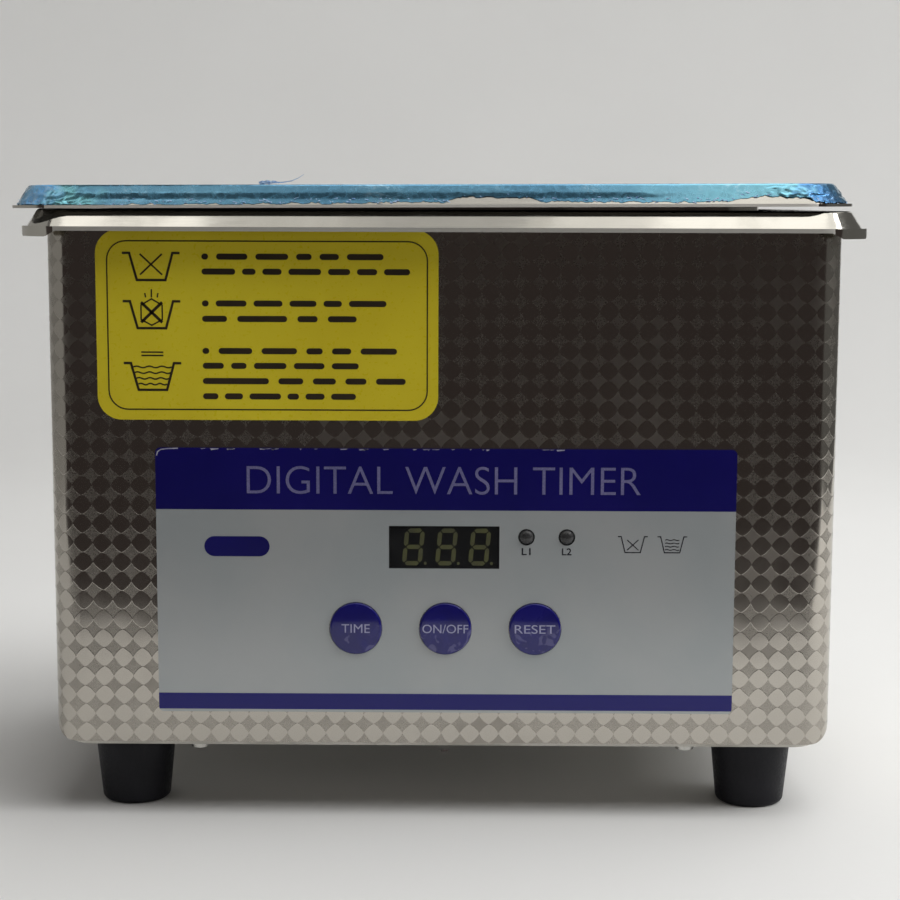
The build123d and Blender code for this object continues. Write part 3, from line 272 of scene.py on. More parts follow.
def glossy_film(name):
    """Blue protective film stuck on polished steel: crinkled, with paler creases where it has lifted, and
    bands of painted reflection along the lid's front.
    """
    f = Finish(name, 0.8, Coat_Weight=0.35, Coat_Roughness=0.06, Coat_IOR=1.5)
    creases = f.noise(2.2, 5.0, distortion=1.6)
    wide = f.noise(18.0, 4.0)
    x = f.math("ADD", f.math("DIVIDE", f.axes()[0], MM), f.ramp(f.noise(5.0, 3.0), 0.3, 0.7, -3.0, 3.0))
    front = f.ramp(f.axes()[1], -0.044, -0.051)
    blue = f.blend(f.ramp(wide, 0.3, 0.7), (0.080, 0.230, 0.36), (0.112, 0.290, 0.42))
    # Painted reflection: the bands on the front face stand in for what the film mirrors.
    for start, end, colour in FILM_REFLECTION_BANDS:
        blue = f.blend(f.math("MULTIPLY", front, f.ramp(x, start, end)), blue, colour)
    # The loose left end is less metallic where the film has lifted off the steel, and painted lighter blue by
    # its band above.
    loose_end = f.math("MULTIPLY", front, f.ramp(x, -78.0, -84.0))
    f.link("Metallic", f.ramp(loose_end, 0.0, 1.0, 0.8, 0.1))
    crease = f.ramp(f.math("ABSOLUTE", f.math("SUBTRACT", creases, 0.5)), 0.0, 0.035, 1.0, 0.0)
    loose = f.math("MULTIPLY", crease, f.ramp(f.noise(9.0, 3.0), 0.56, 0.7))
    end_creases = f.math("MULTIPLY", f.math("MULTIPLY", crease, loose_end), 0.6)
    streaks = f.math("MAXIMUM", f.math("MULTIPLY", loose, 0.4), end_creases)
    f.link("Base Color", f.blend(streaks, blue, (0.50, 0.66, 0.76)))
    f.link("Roughness", f.ramp(creases, 0.3, 0.7, 0.12, 0.3))
    f.link("Normal", f.bump(creases, 0.018, f.bump(wide, 0.05)))
    return f


def board_finish(name):
    """Glass-fibre board: green solder mask over a faint weave, with tracks showing through."""
    f = Finish(name, 0.0, Specular_IOR_Level=0.5)
    weave = f.add("ShaderNodeTexWave", {"Vector": f.place, "Scale": 900.0, "Distortion": 0.6}).outputs[1]
    track = f.ramp(f.cells(5.5, "DISTANCE_TO_EDGE"), 0.06, 0.10, 1.0, 0.0)
    mask = f.blend(f.ramp(weave, 0.2, 0.8), (0.012, 0.085, 0.035), (0.016, 0.105, 0.045))
    f.link("Base Color", f.blend(track, mask, (0.03, 0.19, 0.075)))
    f.link("Roughness", f.ramp(f.noise(0.8, 3.0), 0.3, 0.7, 0.25, 0.4))
    f.link("Normal", f.bump(track, 0.035))
    return f


def wound_wire(name, light, dark, pitch):
    """Enamelled copper laid in close turns."""
    f = Finish(name, 0.8)
    links = {"Vector": f.place, "Scale": 1 / (pitch * MM * 3.2), "Distortion": 0.4}
    turns = f.add("ShaderNodeTexWave", links, bands_direction="Z").outputs[1]
    f.link("Base Color", f.blend(f.ramp(turns, 0.1, 0.7), dark, light))
    f.link("Roughness", f.ramp(turns, 0.0, 1.0, 0.45, 0.28))
    f.link("Normal", f.bump(turns, 0.12))
    return f


def smoked_window(name):
    """Smoked acrylic over the digits, with fine haze and dust."""
    f = Finish(name, 0.0, Alpha=0.35, Specular_IOR_Level=0.5)
    dust = f.cells(1.1)
    haze = f.noise(4.0, 4.0)
    tint = f.blend(f.ramp(haze, 0.3, 0.7), (0.008, 0.009, 0.010), (0.014, 0.015, 0.016))
    f.link("Base Color", f.blend(f.ramp(dust, 0.03, 0.06, 1.0, 0.0), tint, (0.05, 0.05, 0.05)))
    f.link("Roughness", f.ramp(haze, 0.3, 0.7, 0.10, 0.22))
    return f


def button_film(name):
    """A domed key top under a bubbled clear film."""
    f = Finish(name, 0.0, Coat_Weight=1.0, Coat_Roughness=0.04, Coat_IOR=1.5, Specular_IOR_Level=0.15)
    bubbles = f.cells(1.9, "SMOOTH_F1")
    wide = f.noise(5.0, 3.0, distortion=0.8)
    patch = f.ramp(f.noise(3.4, 4.0, distortion=1.2), 0.58, 0.64)
    blue = f.blend(f.ramp(wide, 0.3, 0.7), (0.003, 0.002, 0.13), (0.004, 0.003, 0.16))
    low = f.ramp(f.math("DIVIDE", f.axes()[2], MM), 43.5, 40.5)
    haze = f.math("MULTIPLY", f.math("MULTIPLY", patch, low), 0.28)
    f.link("Base Color", f.blend(haze, blue, (0.26, 0.25, 0.46)))
    f.link("Roughness", f.ramp(wide, 0.3, 0.7, 0.2, 0.3))
    f.link("Normal", f.bump(bubbles, 0.008, f.bump(wide, 0.03)))
    return f


finishes = {
    "casing_steel": embossed_steel("embossed_casing_steel"),
    "plate_steel": steel(
        "zinc_plated_sheet", (0.52, 0.50, 0.46), (0.42, 0.40, 0.36), (0.32, 0.42), (30, 1, 1)
    ),
    # The edge colours passed to edged_steel are lighter than the faces, painted highlights, near white on the
    # lid.
    "tank_steel": edged_steel(
        "drawn_tank_steel", (0.66, 0.64, 0.59), (0.58, 0.56, 0.51), (0.06, 0.1), (RIM_WIDTH, RIM_DEPTH),
        (0, 0), (0.66, 0.65, 0.61),
    ),
    # The lid's underside is painted near black (under=0.06), a painted shade for the dark gap under its brim.
    "lid_steel": edged_steel(
        "pressed_lid_steel", (0.60, 0.58, 0.53), (0.52, 0.50, 0.46), (0.1, 0.16), (LID_WIDTH, LID_DEPTH),
        (LID_ORIGIN.x, LID_ORIGIN.y), (0.92, 0.90, 0.85), under=0.06,
    ),
    "blue_film": glossy_film("blue_protective_film"),
    "basket_plastic": grained(
        "moulded_basket_plastic", (0.60, 0.60, 0.58), (0.53, 0.53, 0.51), (0.38, 0.5), 0.7, 0.012
    ),
    "panel_film": printed_panel("printed_panel_film"),
    "window_film": smoked_window("smoked_display_window"),
    "black_plastic": grained(
        "moulded_black_plastic", (0.022, 0.022, 0.024), (0.012, 0.012, 0.014), (0.38, 0.55), 0.5, 0.02
    ),
    "segment_resin": grained(
        "unlit_segment_resin", (0.58, 0.60, 0.24), (0.44, 0.45, 0.24), (0.35, 0.5), 0.6, 0.004, cloud=2.5
    ),
    "yellow_label": grained(
        "glossy_yellow_vinyl", (0.80, 0.67, 0.030), (0.72, 0.58, 0.022), (0.26, 0.36), 0.8, 0.003, cloud=30.0
    ),
    "button_blue": button_film("domed_blue_key"),
    "switch_body": grained(
        "switch_moulding", (0.10, 0.10, 0.11), (0.06, 0.06, 0.065), (0.4, 0.6), 0.4, 0.01
    ),
    "lamp_resin": grained(
        "smoked_lamp_resin", (0.045, 0.045, 0.045), (0.026, 0.026, 0.028), (0.12, 0.3), 0.5, 0.006
    ),
    "foot_rubber": grained(
        "black_foot_rubber", (0.011, 0.011, 0.015), (0.006, 0.006, 0.009), (0.36, 0.55), 0.6, 0.03,
        Specular_IOR_Level=0.25,
    ),
    "seal_silicone": grained(
        "grey_silicone", (0.12, 0.12, 0.12), (0.08, 0.08, 0.08), (0.5, 0.7), 0.5, 0.02
    ),
    "fastener_steel": steel(
        "plated_fastener", (0.68, 0.67, 0.64), (0.55, 0.54, 0.50), (0.22, 0.34), (1, 1, 8)
    ),
    "brass_hardware": steel("turned_brass", (0.78, 0.60, 0.28), (0.62, 0.46, 0.2), (0.2, 0.34), (1, 1, 10)),
    "board_laminate": board_finish("green_board_laminate"),
    "white_plastic": grained(
        "ivory_header_plastic", (0.72, 0.70, 0.64), (0.64, 0.62, 0.56), (0.35, 0.5), 0.6, 0.01
    ),
    "terminal_green": grained(
        "green_terminal_plastic", (0.05, 0.28, 0.10), (0.03, 0.2, 0.07), (0.35, 0.5), 0.6, 0.01
    ),
    "capacitor_sleeve": grained(
        "black_capacitor_sleeve", (0.03, 0.035, 0.05), (0.02, 0.022, 0.035), (0.22, 0.34), 0.9, 0.02
    ),
    "capacitor_yellow": grained(
        "yellow_film_capacitor", (0.72, 0.52, 0.08), (0.62, 0.43, 0.05), (0.3, 0.45), 0.6, 0.01
    ),
    "ferrite": grained(
        "sintered_ferrite", (0.075, 0.07, 0.068), (0.045, 0.043, 0.042), (0.55, 0.75), 0.25, 0.03
    ),
    "copper_winding": wound_wire("enamelled_copper", (0.72, 0.30, 0.12), (0.34, 0.12, 0.04), 0.5),
    "aluminium": steel(
        "extruded_aluminium", (0.72, 0.73, 0.74), (0.60, 0.61, 0.62), (0.28, 0.4), (1, 1, 0.05)
    ),
    "fuse_glass": grained("fuse_glass", (0.70, 0.74, 0.72), (0.60, 0.64, 0.62), (0.08, 0.16), 1.2, 0.004),
    "piezo_ceramic": grained(
        "silvered_ceramic", (0.60, 0.57, 0.50), (0.50, 0.47, 0.40), (0.35, 0.5), 0.3, 0.01
    ),
    "wire_brown": grained(
        "brown_wire_sleeve", (0.16, 0.065, 0.028), (0.11, 0.043, 0.018), (0.35, 0.48), 0.5, 0.01
    ),
    "wire_blue": grained(
        "blue_wire_sleeve", (0.03, 0.11, 0.42), (0.02, 0.08, 0.33), (0.35, 0.48), 0.5, 0.01
    ),
    "wire_green": grained(
        "earth_wire_sleeve", (0.10, 0.42, 0.07), (0.55, 0.50, 0.05), (0.35, 0.48), 0.5, 0.01, cloud=3.0
    ),
    "wire_red": grained(
        "red_wire_sleeve", (0.50, 0.03, 0.025), (0.40, 0.02, 0.02), (0.35, 0.48), 0.5, 0.01
    ),
    "ribbon_grey": grained(
        "grey_ribbon_cable", (0.34, 0.35, 0.37), (0.26, 0.27, 0.29), (0.4, 0.55), 0.6, 0.02, (1, 6, 1)
    ),
    "terminal_sleeve": grained(
        "clear_terminal_sleeve", (0.60, 0.20, 0.16), (0.48, 0.14, 0.12), (0.3, 0.45), 0.6, 0.01
    ),
}
for node in nodes.values():
    for slot in node.material_slots:
        slot.material = finishes[slot.material.name.split(".")[0]].material

panel_ink = grained("panel_ink_pale", (0.19, 0.18, 0.35), (0.15, 0.145, 0.30), (0.22, 0.28), 0.4, 0.002)
key_ink = grained("key_ink_pale", (0.42, 0.42, 0.62), (0.34, 0.34, 0.54), (0.22, 0.28), 0.4, 0.002)
dark_ink = grained("panel_ink_dark", (0.012, 0.012, 0.022), (0.008, 0.008, 0.016), (0.22, 0.28), 0.4, 0.002)
label_ink = grained("label_ink_black", (0.030, 0.018, 0.008), (0.018, 0.012, 0.006), (0.35, 0.45), 0.4, 0.002)
pill_ink = grained("panel_ink_blue", (0.004, 0.003, 0.12), (0.003, 0.002, 0.10), (0.2, 0.26), 0.5, 0.002)
# Lifted clear film painted pale: a painted highlight along its lifted edge.
lifted_film_and_highlight = grained(
    "lifted_clear_film", (0.50, 0.50, 0.56), (0.26, 0.26, 0.40), (0.12, 0.3), 0.6, 0.02, cloud=2.0
)


# ---------------------------------------------------------------- mesh pieces
def piece(name, points, faces, finish, body, replaced=(), smooth=False):
    """A mesh piece in millimetres that rides on a body."""
    mesh = bpy.data.meshes.new(name)
    mesh.from_pydata([Vector(p) * MM for p in points], [], faces)
    mesh.validate()
    if smooth:
        mesh.polygons.foreach_set("use_smooth", [True] * len(mesh.polygons))
    mesh.materials.append(finish.material)
    made = bpy.data.objects.new(name, mesh)
    scene.collection.objects.link(made)
    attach(made, body)
    if replaced:
        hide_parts(*replaced)
    return made


class Print:
    """Thin printed shapes on a plane that faces the front: strokes, filled outlines and words."""

    def __init__(self, face, thickness=0.03):
        self.face, self.thickness = face, thickness
        self.points, self.faces = [], []

    def fill(self, outline):
        """A closed outline, counter-clockwise as the front sees it, as a thin solid."""
        start, count = len(self.points), len(outline)
        self.points += [(x, self.face - self.thickness, z) for x, z in outline]
        self.points += [(x, self.face, z) for x, z in outline]
        self.faces.append(tuple(range(start, start + count)))
        self.faces.append(tuple(range(start + 2 * count - 1, start + count - 1, -1)))
        for i in range(count):
            j = (i + 1) % count
            self.faces.append((start + i, start + count + i, start + count + j, start + j))

    def stroke(self, line, width, closed=False):
        """A line of constant width with mitred corners."""
        count = len(line)
        sides = []
        for i, point in enumerate(line):
            before = line[(i - 1) % count] if closed or i > 0 else None
            after = line[(i + 1) % count] if closed or i < count - 1 else None
            headings = []
            for a, b in ((before, point), (point, after)):
                if a is not None and b is not None:
                    headings.append(Vector((b[0] - a[0], b[1] - a[1])).normalized())
            normals = [Vector((-h.y, h.x)) for h in headings]
            mitre = sum(normals, Vector((0, 0))).normalized()
            reach = width / 2 / max(mitre.dot(normals[0]), 0.35)
            sides.append((Vector(point) + mitre * reach, Vector(point) - mitre * reach))
        for i in range(count if closed else count - 1):
            a, b = sides[i], sides[(i + 1) % count]
            self.fill([tuple(a[1]), tuple(b[1]), tuple(b[0]), tuple(a[0])])

    def bar(self, left, right, middle, height):
        """A bar with round ends."""
        radius = height / 2
        turn = [math.radians(a) for a in range(-90, 91, 15)]
        end = [(right - radius + radius * math.cos(a), middle + radius * math.sin(a)) for a in turn]
        start = [(left + radius - radius * math.cos(a), middle - radius * math.sin(a)) for a in turn]
        self.fill(end + start)

    def words(self, text, left, right, low, high, weight=0.0):
        """Capitals fitted between two sides and two heights."""
        curve = bpy.data.curves.new("words", "FONT")
        curve.body = text
        curve.resolution_u = 6
        curve.offset = weight
        holder = bpy.data.objects.new("words", curve)
        scene.collection.objects.link(holder)
        mesh = holder.to_mesh()
        corners = [v.co for v in mesh.vertices]
        x0, x1 = min(c.x for c in corners), max(c.x for c in corners)
        z0, z1 = min(c.y for c in corners), max(c.y for c in corners)
        start = len(self.points)
        fitted = [
            (left + (c.x - x0) / (x1 - x0) * (right - left), low + (c.y - z0) / (z1 - z0) * (high - low))
            for c in corners
        ]
        self.points += [(x, self.face - self.thickness, z) for x, z in fitted]
        self.faces += [tuple(start + v for v in polygon.vertices) for polygon in mesh.polygons]
        holder.to_mesh_clear()
        bpy.data.objects.remove(holder)
        bpy.data.curves.remove(curve)

    def save(self, name, finish, body, slot):
        return piece(name, self.points, self.faces, finish, body)


def rounded(left, right, low, high, radius, steps=8):
    """Outline of a rounded rectangle."""
    outline = []
    for x, z, start in (
        (right - radius, high - radius, 0),
        (left + radius, high - radius, 90),
        (left + radius, low + radius, 180),
        (right - radius, low + radius, 270),
    ):
        for i in range(steps + 1):
            a = math.radians(start + 90 * i / steps)
            outline.append((x + radius * math.cos(a), z + radius * math.sin(a)))
    return outline


# ---------------------------------------------------------------- front panel print
title = Print(PANEL_FACE)
title.words("DIGITAL WASH TIMER", -41.2, 41.6, 70.4, 76.3, -0.011)
title.save("panel_title_print", panel_ink, "housing", "panel_film")

pill = Print(PANEL_FACE)
pill.bar(-50.3, -36.5, 59.15, 4.3)
pill.save("panel_blank_badge", pill_ink, "housing", "panel_film")

lamp_marks = Print(PANEL_FACE)
lamp_marks.words("L1", 16.7, 18.6, 57.55, 59.05, 0.012)
lamp_marks.words("L2", 25.2, 27.2, 57.55, 59.05, 0.012)
lamp_marks.save("lamp_captions", dark_ink, "housing", "panel_film")


def tub(ink, middle, low, width, height, line, ear):
    """A tub seen from the side: two leaning walls with folded ears, and a floor."""
    top, foot = width / 2, width / 2 * 0.66
    ink.stroke(
        [
            (middle - top - ear, low + height),
            (middle - top, low + height),
            (middle - foot, low),
            (middle + foot, low),
            (middle + top, low + height),
            (middle + top + ear, low + height),
        ],
        line,
    )


def wave(ink, left, right, level, line, swing, count=2):
    """A wavy liquid line."""
    steps = 10 * count
    ink.stroke(
        [
            (left + (right - left) * i / steps, level + swing * math.sin(2 * math.pi * count * i / steps))
            for i in range(steps + 1)
        ],
        line,
    )


tubs = Print(PANEL_FACE)
tub(tubs, 40.1, 58.2, 4.9, 3.4, 0.22, 0.7)
tubs.stroke([(38.9, 58.7), (41.3, 60.9)], 0.2)
tubs.stroke([(41.3, 58.7), (38.9, 60.9)], 0.2)
tub(tubs, 48.4, 58.2, 4.9, 3.4, 0.22, 0.7)
for level in (58.8, 59.5, 60.2, 60.9):
    wave(tubs, 46.9, 49.9, level, 0.18, 0.09)
tubs.save("panel_tub_icons", dark_ink, "housing", "panel_film")

# ---------------------------------------------------------------- key captions
for key, caption, middle, half in (
    ("time_button", "TIME", -18.35, 3.0),
    ("power_button", "ON/OFF", 0.65, 4.85),
    ("reset_button", "RESET", 19.65, 4.3),
):
    legend = Print(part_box(key)[0].y / MM)
    legend.words(caption, middle - half, middle + half, 40.75, 42.6)
    legend.save(key + "_caption", key_ink, key, "button_blue")

# ---------------------------------------------------------------- instruction label print
label = Print(LABEL_FACE)
label.stroke(rounded(-69.9, -3.3, 88.1, 123.2, 4.0), 0.28, closed=True)
for level in (115.1, 105.1, 92.2):
    tub(label, -60.7, level, 9.0, 5.6, 0.5, 1.5)
label.stroke([(-63.0, 116.2), (-58.4, 120.5)], 0.35)
label.stroke([(-58.4, 116.2), (-63.0, 120.5)], 0.35)
label.stroke([(-62.9, 106.3), (-58.5, 110.5)], 0.6)
label.stroke([(-58.5, 106.3), (-62.9, 110.5)], 0.6)
cube = [(-60.7, 111.2), (-58.5, 109.9), (-58.5, 106.9), (-60.7, 105.7), (-62.9, 106.9), (-62.9, 109.9)]
label.stroke(cube, 0.3, closed=True)
for rise, side in ((112.4, -1.2), (113.2, 0.0), (112.4, 1.2)):
    label.stroke([(-60.7 + side, 111.5), (-60.7 + side * 1.15, rise)], 0.28)
for level, reach in ((97.0, 4.0), (95.8, 3.8), (94.6, 3.4), (93.4, 3.0)):
    wave(label, -60.7 - reach, -60.7 + reach, level, 0.3, 0.16, 3)
label.stroke([(-63.0, 99.4), (-58.4, 99.4)], 0.3)
label.stroke([(-63.0, 100.1), (-58.4, 100.1)], 0.3)
# Each line of the label's text: its height, its right end, and the lengths of the bars in it.
label_lines = (
    (120.0, -12.4, (1.4, 6.5, 6.8, 3.2, 4.0, 7.6)),
    (116.9, -6.9, (7.0, 2.8, 4.0, 6.8, 4.6, 4.2, 5.4)),
    (110.3, -11.8, (1.4, 6.4, 6.0, 5.6, 3.8, 7.8)),
    (107.1, -18.0, (5.2, 10.4, 4.2, 6.0)),
    (100.4, -9.6, (1.4, 7.0, 7.4, 3.4, 4.0, 7.6)),
    (97.3, -17.6, (4.4, 3.2, 6.8, 6.4, 5.6)),
    (94.1, -7.8, (13.8, 5.2, 4.8, 4.4, 6.2)),
    (90.9, -18.2, (3.2, 3.8, 6.6, 2.4, 4.0, 5.2)),
)
LABEL_LINE_START, LABEL_BAR_HEIGHT = -50.2, 1.25
for level, right, lengths in label_lines:
    start = LABEL_LINE_START
    room = (right - start - sum(lengths)) / (len(lengths) - 1)
    for length in lengths:
        label.bar(start, start + length, level, LABEL_BAR_HEIGHT)
        start += length + room
label.save("label_icons_and_lines", label_ink, "housing", "yellow_label")

# Slivers of clear film that has lifted along the header's top edge and at its left corner, painted pale grey
# as painted highlights on the lifted edge
SLIVERS = 34
marks = Print(PANEL_FACE)
for _ in range(SLIVERS):
    left = random.uniform(-52.0, 24.0)
    right = left + random.uniform(0.3, 1.8)
    drop = random.uniform(0.12, 0.4)
    marks.fill([(left, 79.95), (left + 0.2, 79.98 - drop), (right - 0.1, 79.99 - drop / 2), (right, 79.98)])
marks.stroke([(-60.1, 78.4), (-59.9, 79.2), (-59.2, 79.7), (-57.6, 79.9), (-55.6, 79.95)], 0.22)
marks.save("lifted_film_marks", lifted_film_and_highlight, "housing", "panel_film")


# ---------------------------------------------------------------- lid film
# The film stands off the bevel by FILM_LIFT, and FILM_BULGE more where it has come loose.
BEVEL_ROWS, FILM_LIFT, FILM_BULGE, DISH_FILM_GAP = 16, 0.07, 0.3, 0.14
# The direction in which it stands off, outwards and up.
LIFT_OUT, LIFT_UP = 0.777, 0.63
# Distances from the bevel's top edge at which the flat of the lid has a ring of points.
FLAT_RINGS = (0.5, 1.6, 3.4, 6.0)
# Shares of the way from the last ring to the dish's edge, and of the floor from its wall inwards.
TOP_STEPS = (0.3, 0.6, 1.0)
FLOOR_STEPS = (0.998, 0.97, 0.85, 0.6, 0.3)
# How far up the front bevel the film has torn away, as (place along the lid, share of the bevel).
FRONT_TEAR = (
    (-60, 0.0), (-46, 0.04), (-20, 0.08), (2, 0.12), (7, 0.36), (19, 0.34), (24, 0.14), (52, 0.08),
    (60, 0.14), (68, 0.34), (76, 0.3), (82, 0.0),
)
OTHER_TEAR = 0.12


def lid_point(along, across, up):
    """A point of the tilted lid's own frame, in the row frame."""
    side, rise = math.cos(LID_TILT), math.sin(LID_TILT)
    return LID_ORIGIN + Vector((along * side - up * rise, across, along * rise + up * side))


def bevel_height(share):
    """Height in the lid's frame at a share of the way up its bevel."""
    return LID_SHEET + (LID_HEIGHT - LID_SHEET) * share


def rim_line(width, depth, corner, step):
    """Points and outward directions round a rounded rectangle, counter-clockwise from the front left."""
    line = []
    half_x, half_y = width / 2 - corner, depth / 2 - corner
    sides = (
        (Vector((-half_x, -half_y)), Vector((half_x, -half_y)), Vector((0, -1))),
        (Vector((half_x, -half_y)), Vector((half_x, half_y)), Vector((1, 0))),
        (Vector((half_x, half_y)), Vector((-half_x, half_y)), Vector((0, 1))),
        (Vector((-half_x, half_y)), Vector((-half_x, -half_y)), Vector((-1, 0))),
    )
    for start, end, out in sides:
        count = round((end - start).length / step)
        for i in range(count):
            line.append((start + (end - start) * i / count + out * corner, out.copy()))
        arc = round(corner * math.pi / 2 / step)
        for i in range(arc):
            turned = Matrix.Rotation(math.pi / 2 * i / arc, 2) @ out
            line.append((end + turned * corner, turned))
    return line


def between(stops, value):
    """A height read off a short list of (place, height) stops."""
    if value <= stops[0][0]:
        return stops[0][1]
    for (a, low), (b, high) in zip(stops, stops[1:]):
        if value <= b:
            t = (value - a) / (b - a)
            return low + (high - low) * t * t * (3 - 2 * t)
    return stops[-1][1]


def torn(along, across):
    """How far up the lid's bevel the film's torn edge runs, from 0 at the brim to 1 at the top."""
    cover = between(FRONT_TEAR, along) if across < 0 else OTHER_TEAR
    jag = noise.noise(Vector((along * 0.5, across * 0.5, 3.1))) * 0.1
    fine = noise.noise(Vector((along * 2.1, across * 2.1, 7.7))) * 0.06
    return min(max(cover + jag + fine, 0.0), 0.8)


def bevel_line(place):
    """The film from its torn edge to the flat, at one place on the rim, as (inset, height, looseness)."""
    cover = torn(place.x, place.y)
    bulge = FILM_BULGE * between(((35, 1.0), (55, 0.3)), place.x)
    line = []
    for row in range(BEVEL_ROWS + 1):
        share = cover + (1 - cover) * row / BEVEL_ROWS
        swollen = between(((0.2, 0.0), (0.62, 1.0), (0.93, 1.0), (1.0, 0.0)), share)
        lift = FILM_LIFT + bulge * swollen
        inset = LID_BRIM + LID_BEVEL_RUN * share - lift * LIFT_OUT
        line.append((inset, bevel_height(share) + lift * LIFT_UP, 1 - row / BEVEL_ROWS))
    for inset in FLAT_RINGS:
        line.append((LID_BRIM + LID_BEVEL_RUN + inset, LID_HEIGHT + FILM_LIFT, 0.4))
    return line


def crumpled(place, out, inset, level, loose):
    """A point of the film, pushed out by its folds, which are deepest at the lid's two ends."""
    crumple = between(((-80, 1.0), (-66, 0.12), (66, 0.08), (76, 1.0)), place.x)
    flat = place - out * inset
    seed = Vector((flat.x * 0.5, flat.y * 0.5, level * 0.7))
    fold = max(0.0, 1 - abs(noise.noise(seed)) * 3.2) * 0.32 * crumple
    swell = (fold + abs(noise.noise(seed * 2.3)) * 0.16 * crumple) * (0.35 + 0.65 * loose)
    swell += abs(noise.noise(seed * 0.35)) * 0.05
    if level > LID_HEIGHT - 0.2:
        swell = min(swell, 0.05)
    return lid_point(flat.x + out.x * swell * 0.77, flat.y + out.y * swell * 0.77, level + swell * 0.5)


def dish_edge(heading):
    """Where a ray from the lid's middle meets the dish's rounded rectangle."""
    inside_wall = LID_SHEET + DISH_FILM_GAP
    half_x, half_y = LID_DISH_LENGTH / 2 - inside_wall, LID_DISH_WIDTH / 2 - inside_wall
    radius = LID_DISH_CORNER - inside_wall
    low, high = 0.0, 200.0
    for _ in range(24):
        reach = (low + high) / 2
        x, y = abs(heading.x * reach), abs(heading.y * reach)
        past = Vector((max(x - half_x + radius, 0), max(y - half_y + radius, 0)))
        inside = x < half_x and y < half_y and past.length < radius
        low, high = (reach, high) if inside else (low, reach)
    return heading * low


def dish_line(place, out):
    """The film from the last ring on the flat into the dish and over its floor."""
    ring = place - out * (LID_BRIM + LID_BEVEL_RUN + FLAT_RINGS[-1])
    edge = dish_edge(ring.normalized())
    steps = [(ring.lerp(edge, share), 0.0) for share in TOP_STEPS]
    steps += [(edge * share, 1.0) for share in FLOOR_STEPS]
    line = []
    for flat, drop in steps:
        swell = noise.fractal(Vector((flat.x * 0.12, flat.y * 0.12, drop)), 1.0, 2.0, 4) * 0.05
        height = LID_HEIGHT + FILM_LIFT + max(swell, -0.03) - drop * LID_DISH_DEPTH
        line.append(lid_point(flat.x, flat.y, height))
    return line


FILM_STEP = 0.45
lid_rim = rim_line(LID_WIDTH, LID_DEPTH, LID_CORNER, FILM_STEP)
film_lines = []
for place, out in lid_rim:
    outer = [crumpled(place, out, *row) for row in bevel_line(place)]
    film_lines.append(outer + dish_line(place, out))
count, across = len(lid_rim), len(film_lines[0])
film_points = [point for line in film_lines for point in line]
film_points.append(lid_point(0, 0, LID_HEIGHT + FILM_LIFT - LID_DISH_DEPTH))
film_faces = []
for i in range(count):
    a, b = i * across, (i + 1) % count * across
    film_faces += [(a + k, b + k, b + k + 1, a + k + 1) for k in range(across - 1)]
    film_faces.append((a + across - 1, b + across - 1, len(film_points) - 1))
film_finish = finishes["blue_film"]
piece("lid_film_sheet", film_points, film_faces, film_finish, "lid", ("lid_film",), smooth=True)

fray_finish = grained(
    "film_fray_edges", (0.42, 0.60, 0.82), (0.10, 0.24, 0.52), (0.15, 0.35), 0.4, 0.02, cloud=0.8
)
frays = []
fray_faces = []


def ribbon(path, width, low=True):
    """A narrow tapering strip of film along a path, kept under the CAD's top unless it stands up."""
    start = len(frays)
    for i, point in enumerate(path):
        heading = (path[min(i + 1, len(path) - 1)] - path[max(i - 1, 0)]).normalized()
        taper = 1 - 0.85 * i / (len(path) - 1)
        side = heading.cross(Vector((0, -0.8, 0.6))).normalized() * width / 2 * taper
        for edge in (point + side, point - side):
            edge.z = min(edge.z, cad_high.z / MM - 0.02) if low else edge.z
            frays.append(edge)
    for i in range(len(path) - 1):
        a = start + 2 * i
        fray_faces.append((a, a + 1, a + 3, a + 2))


# Loose threads of film along the torn edge, with gaps
FRAY_GAPS = 0.3
for place, out in lid_rim[::2]:
    if random.random() < FRAY_GAPS:
        continue
    share = torn(place.x, place.y) + random.uniform(-0.02, 0.22)
    flat = place - out * (LID_BRIM + LID_BEVEL_RUN * share - 0.15)
    base = lid_point(flat.x, flat.y, bevel_height(share) + 0.1)
    length = random.uniform(0.3, 1.7)
    along = Vector((-out.y, out.x, 0)) * random.choice((-1, 1))
    lift = Vector((out.x, out.y, 0.2)) * random.uniform(0.05, 0.3)
    fall = Vector((0, 0, -1)) * random.uniform(-0.3, 0.5)
    path = [base + (along * 0.8 + fall) * length * t + lift * length * t * t for t in (0, 0.35, 0.7, 1.0)]
    ribbon(path, random.uniform(0.12, 0.4))


def standing_ribbon(line, across, width):
    """A ribbon above the lid's flat top, along (place, height) points."""
    path = [lid_point(x - LID_ORIGIN.x, across, LID_HEIGHT + 0.1 + z) for x, z in line]
    ribbon(path, width, low=False)


# A curl of film stands up from the front edge of the lid's top, out of a small crumpled lump.
curl_y = -LID_DEPTH / 2 + LID_BRIM + LID_BEVEL_RUN + 0.4
curl = [(-38.0, 0.0), (-36.6, 0.25), (-35.0, 0.35), (-33.2, 0.4), (-31.4, 0.7), (-30.0, 1.3), (-28.9, 2.0)]
standing_ribbon(curl, curl_y, 0.5)
for x, z, width in ((-37.2, 0.35, 0.9), (-36.2, 0.5, 0.8), (-35.0, 0.45, 0.7), (-36.8, 0.2, 1.1)):
    lump = [(x - 0.9, z - 0.2), (x - 0.3, z + 0.15), (x + 0.3, z + 0.1), (x + 0.9, z - 0.25)]
    standing_ribbon(lump, curl_y - 0.2, width)
piece("lid_film_frays", frays, fray_faces, fray_finish, "lid")

# ---------------------------------------------------------------- stage, light and camera
# The stage is in metres: a round sweep, soft boxes, and cards that shape what the steel reflects.
stage_finish = grained(
    "pale_paper", (0.80, 0.80, 0.785), (0.775, 0.775, 0.76), (0.8, 0.95), 1.5, 0.02, cloud=300.0
)
BOWL_FLAT, BOWL_BEND, BOWL_TOP = 0.62, 0.5, 1.9
BOWL_RINGS, BOWL_BEND_RINGS, BOWL_SIDES = 30, 16, 128
TABLE_FRONT = -0.238
WARM = (1.0, 0.985, 0.94)
CARD_LEVEL = 0.95


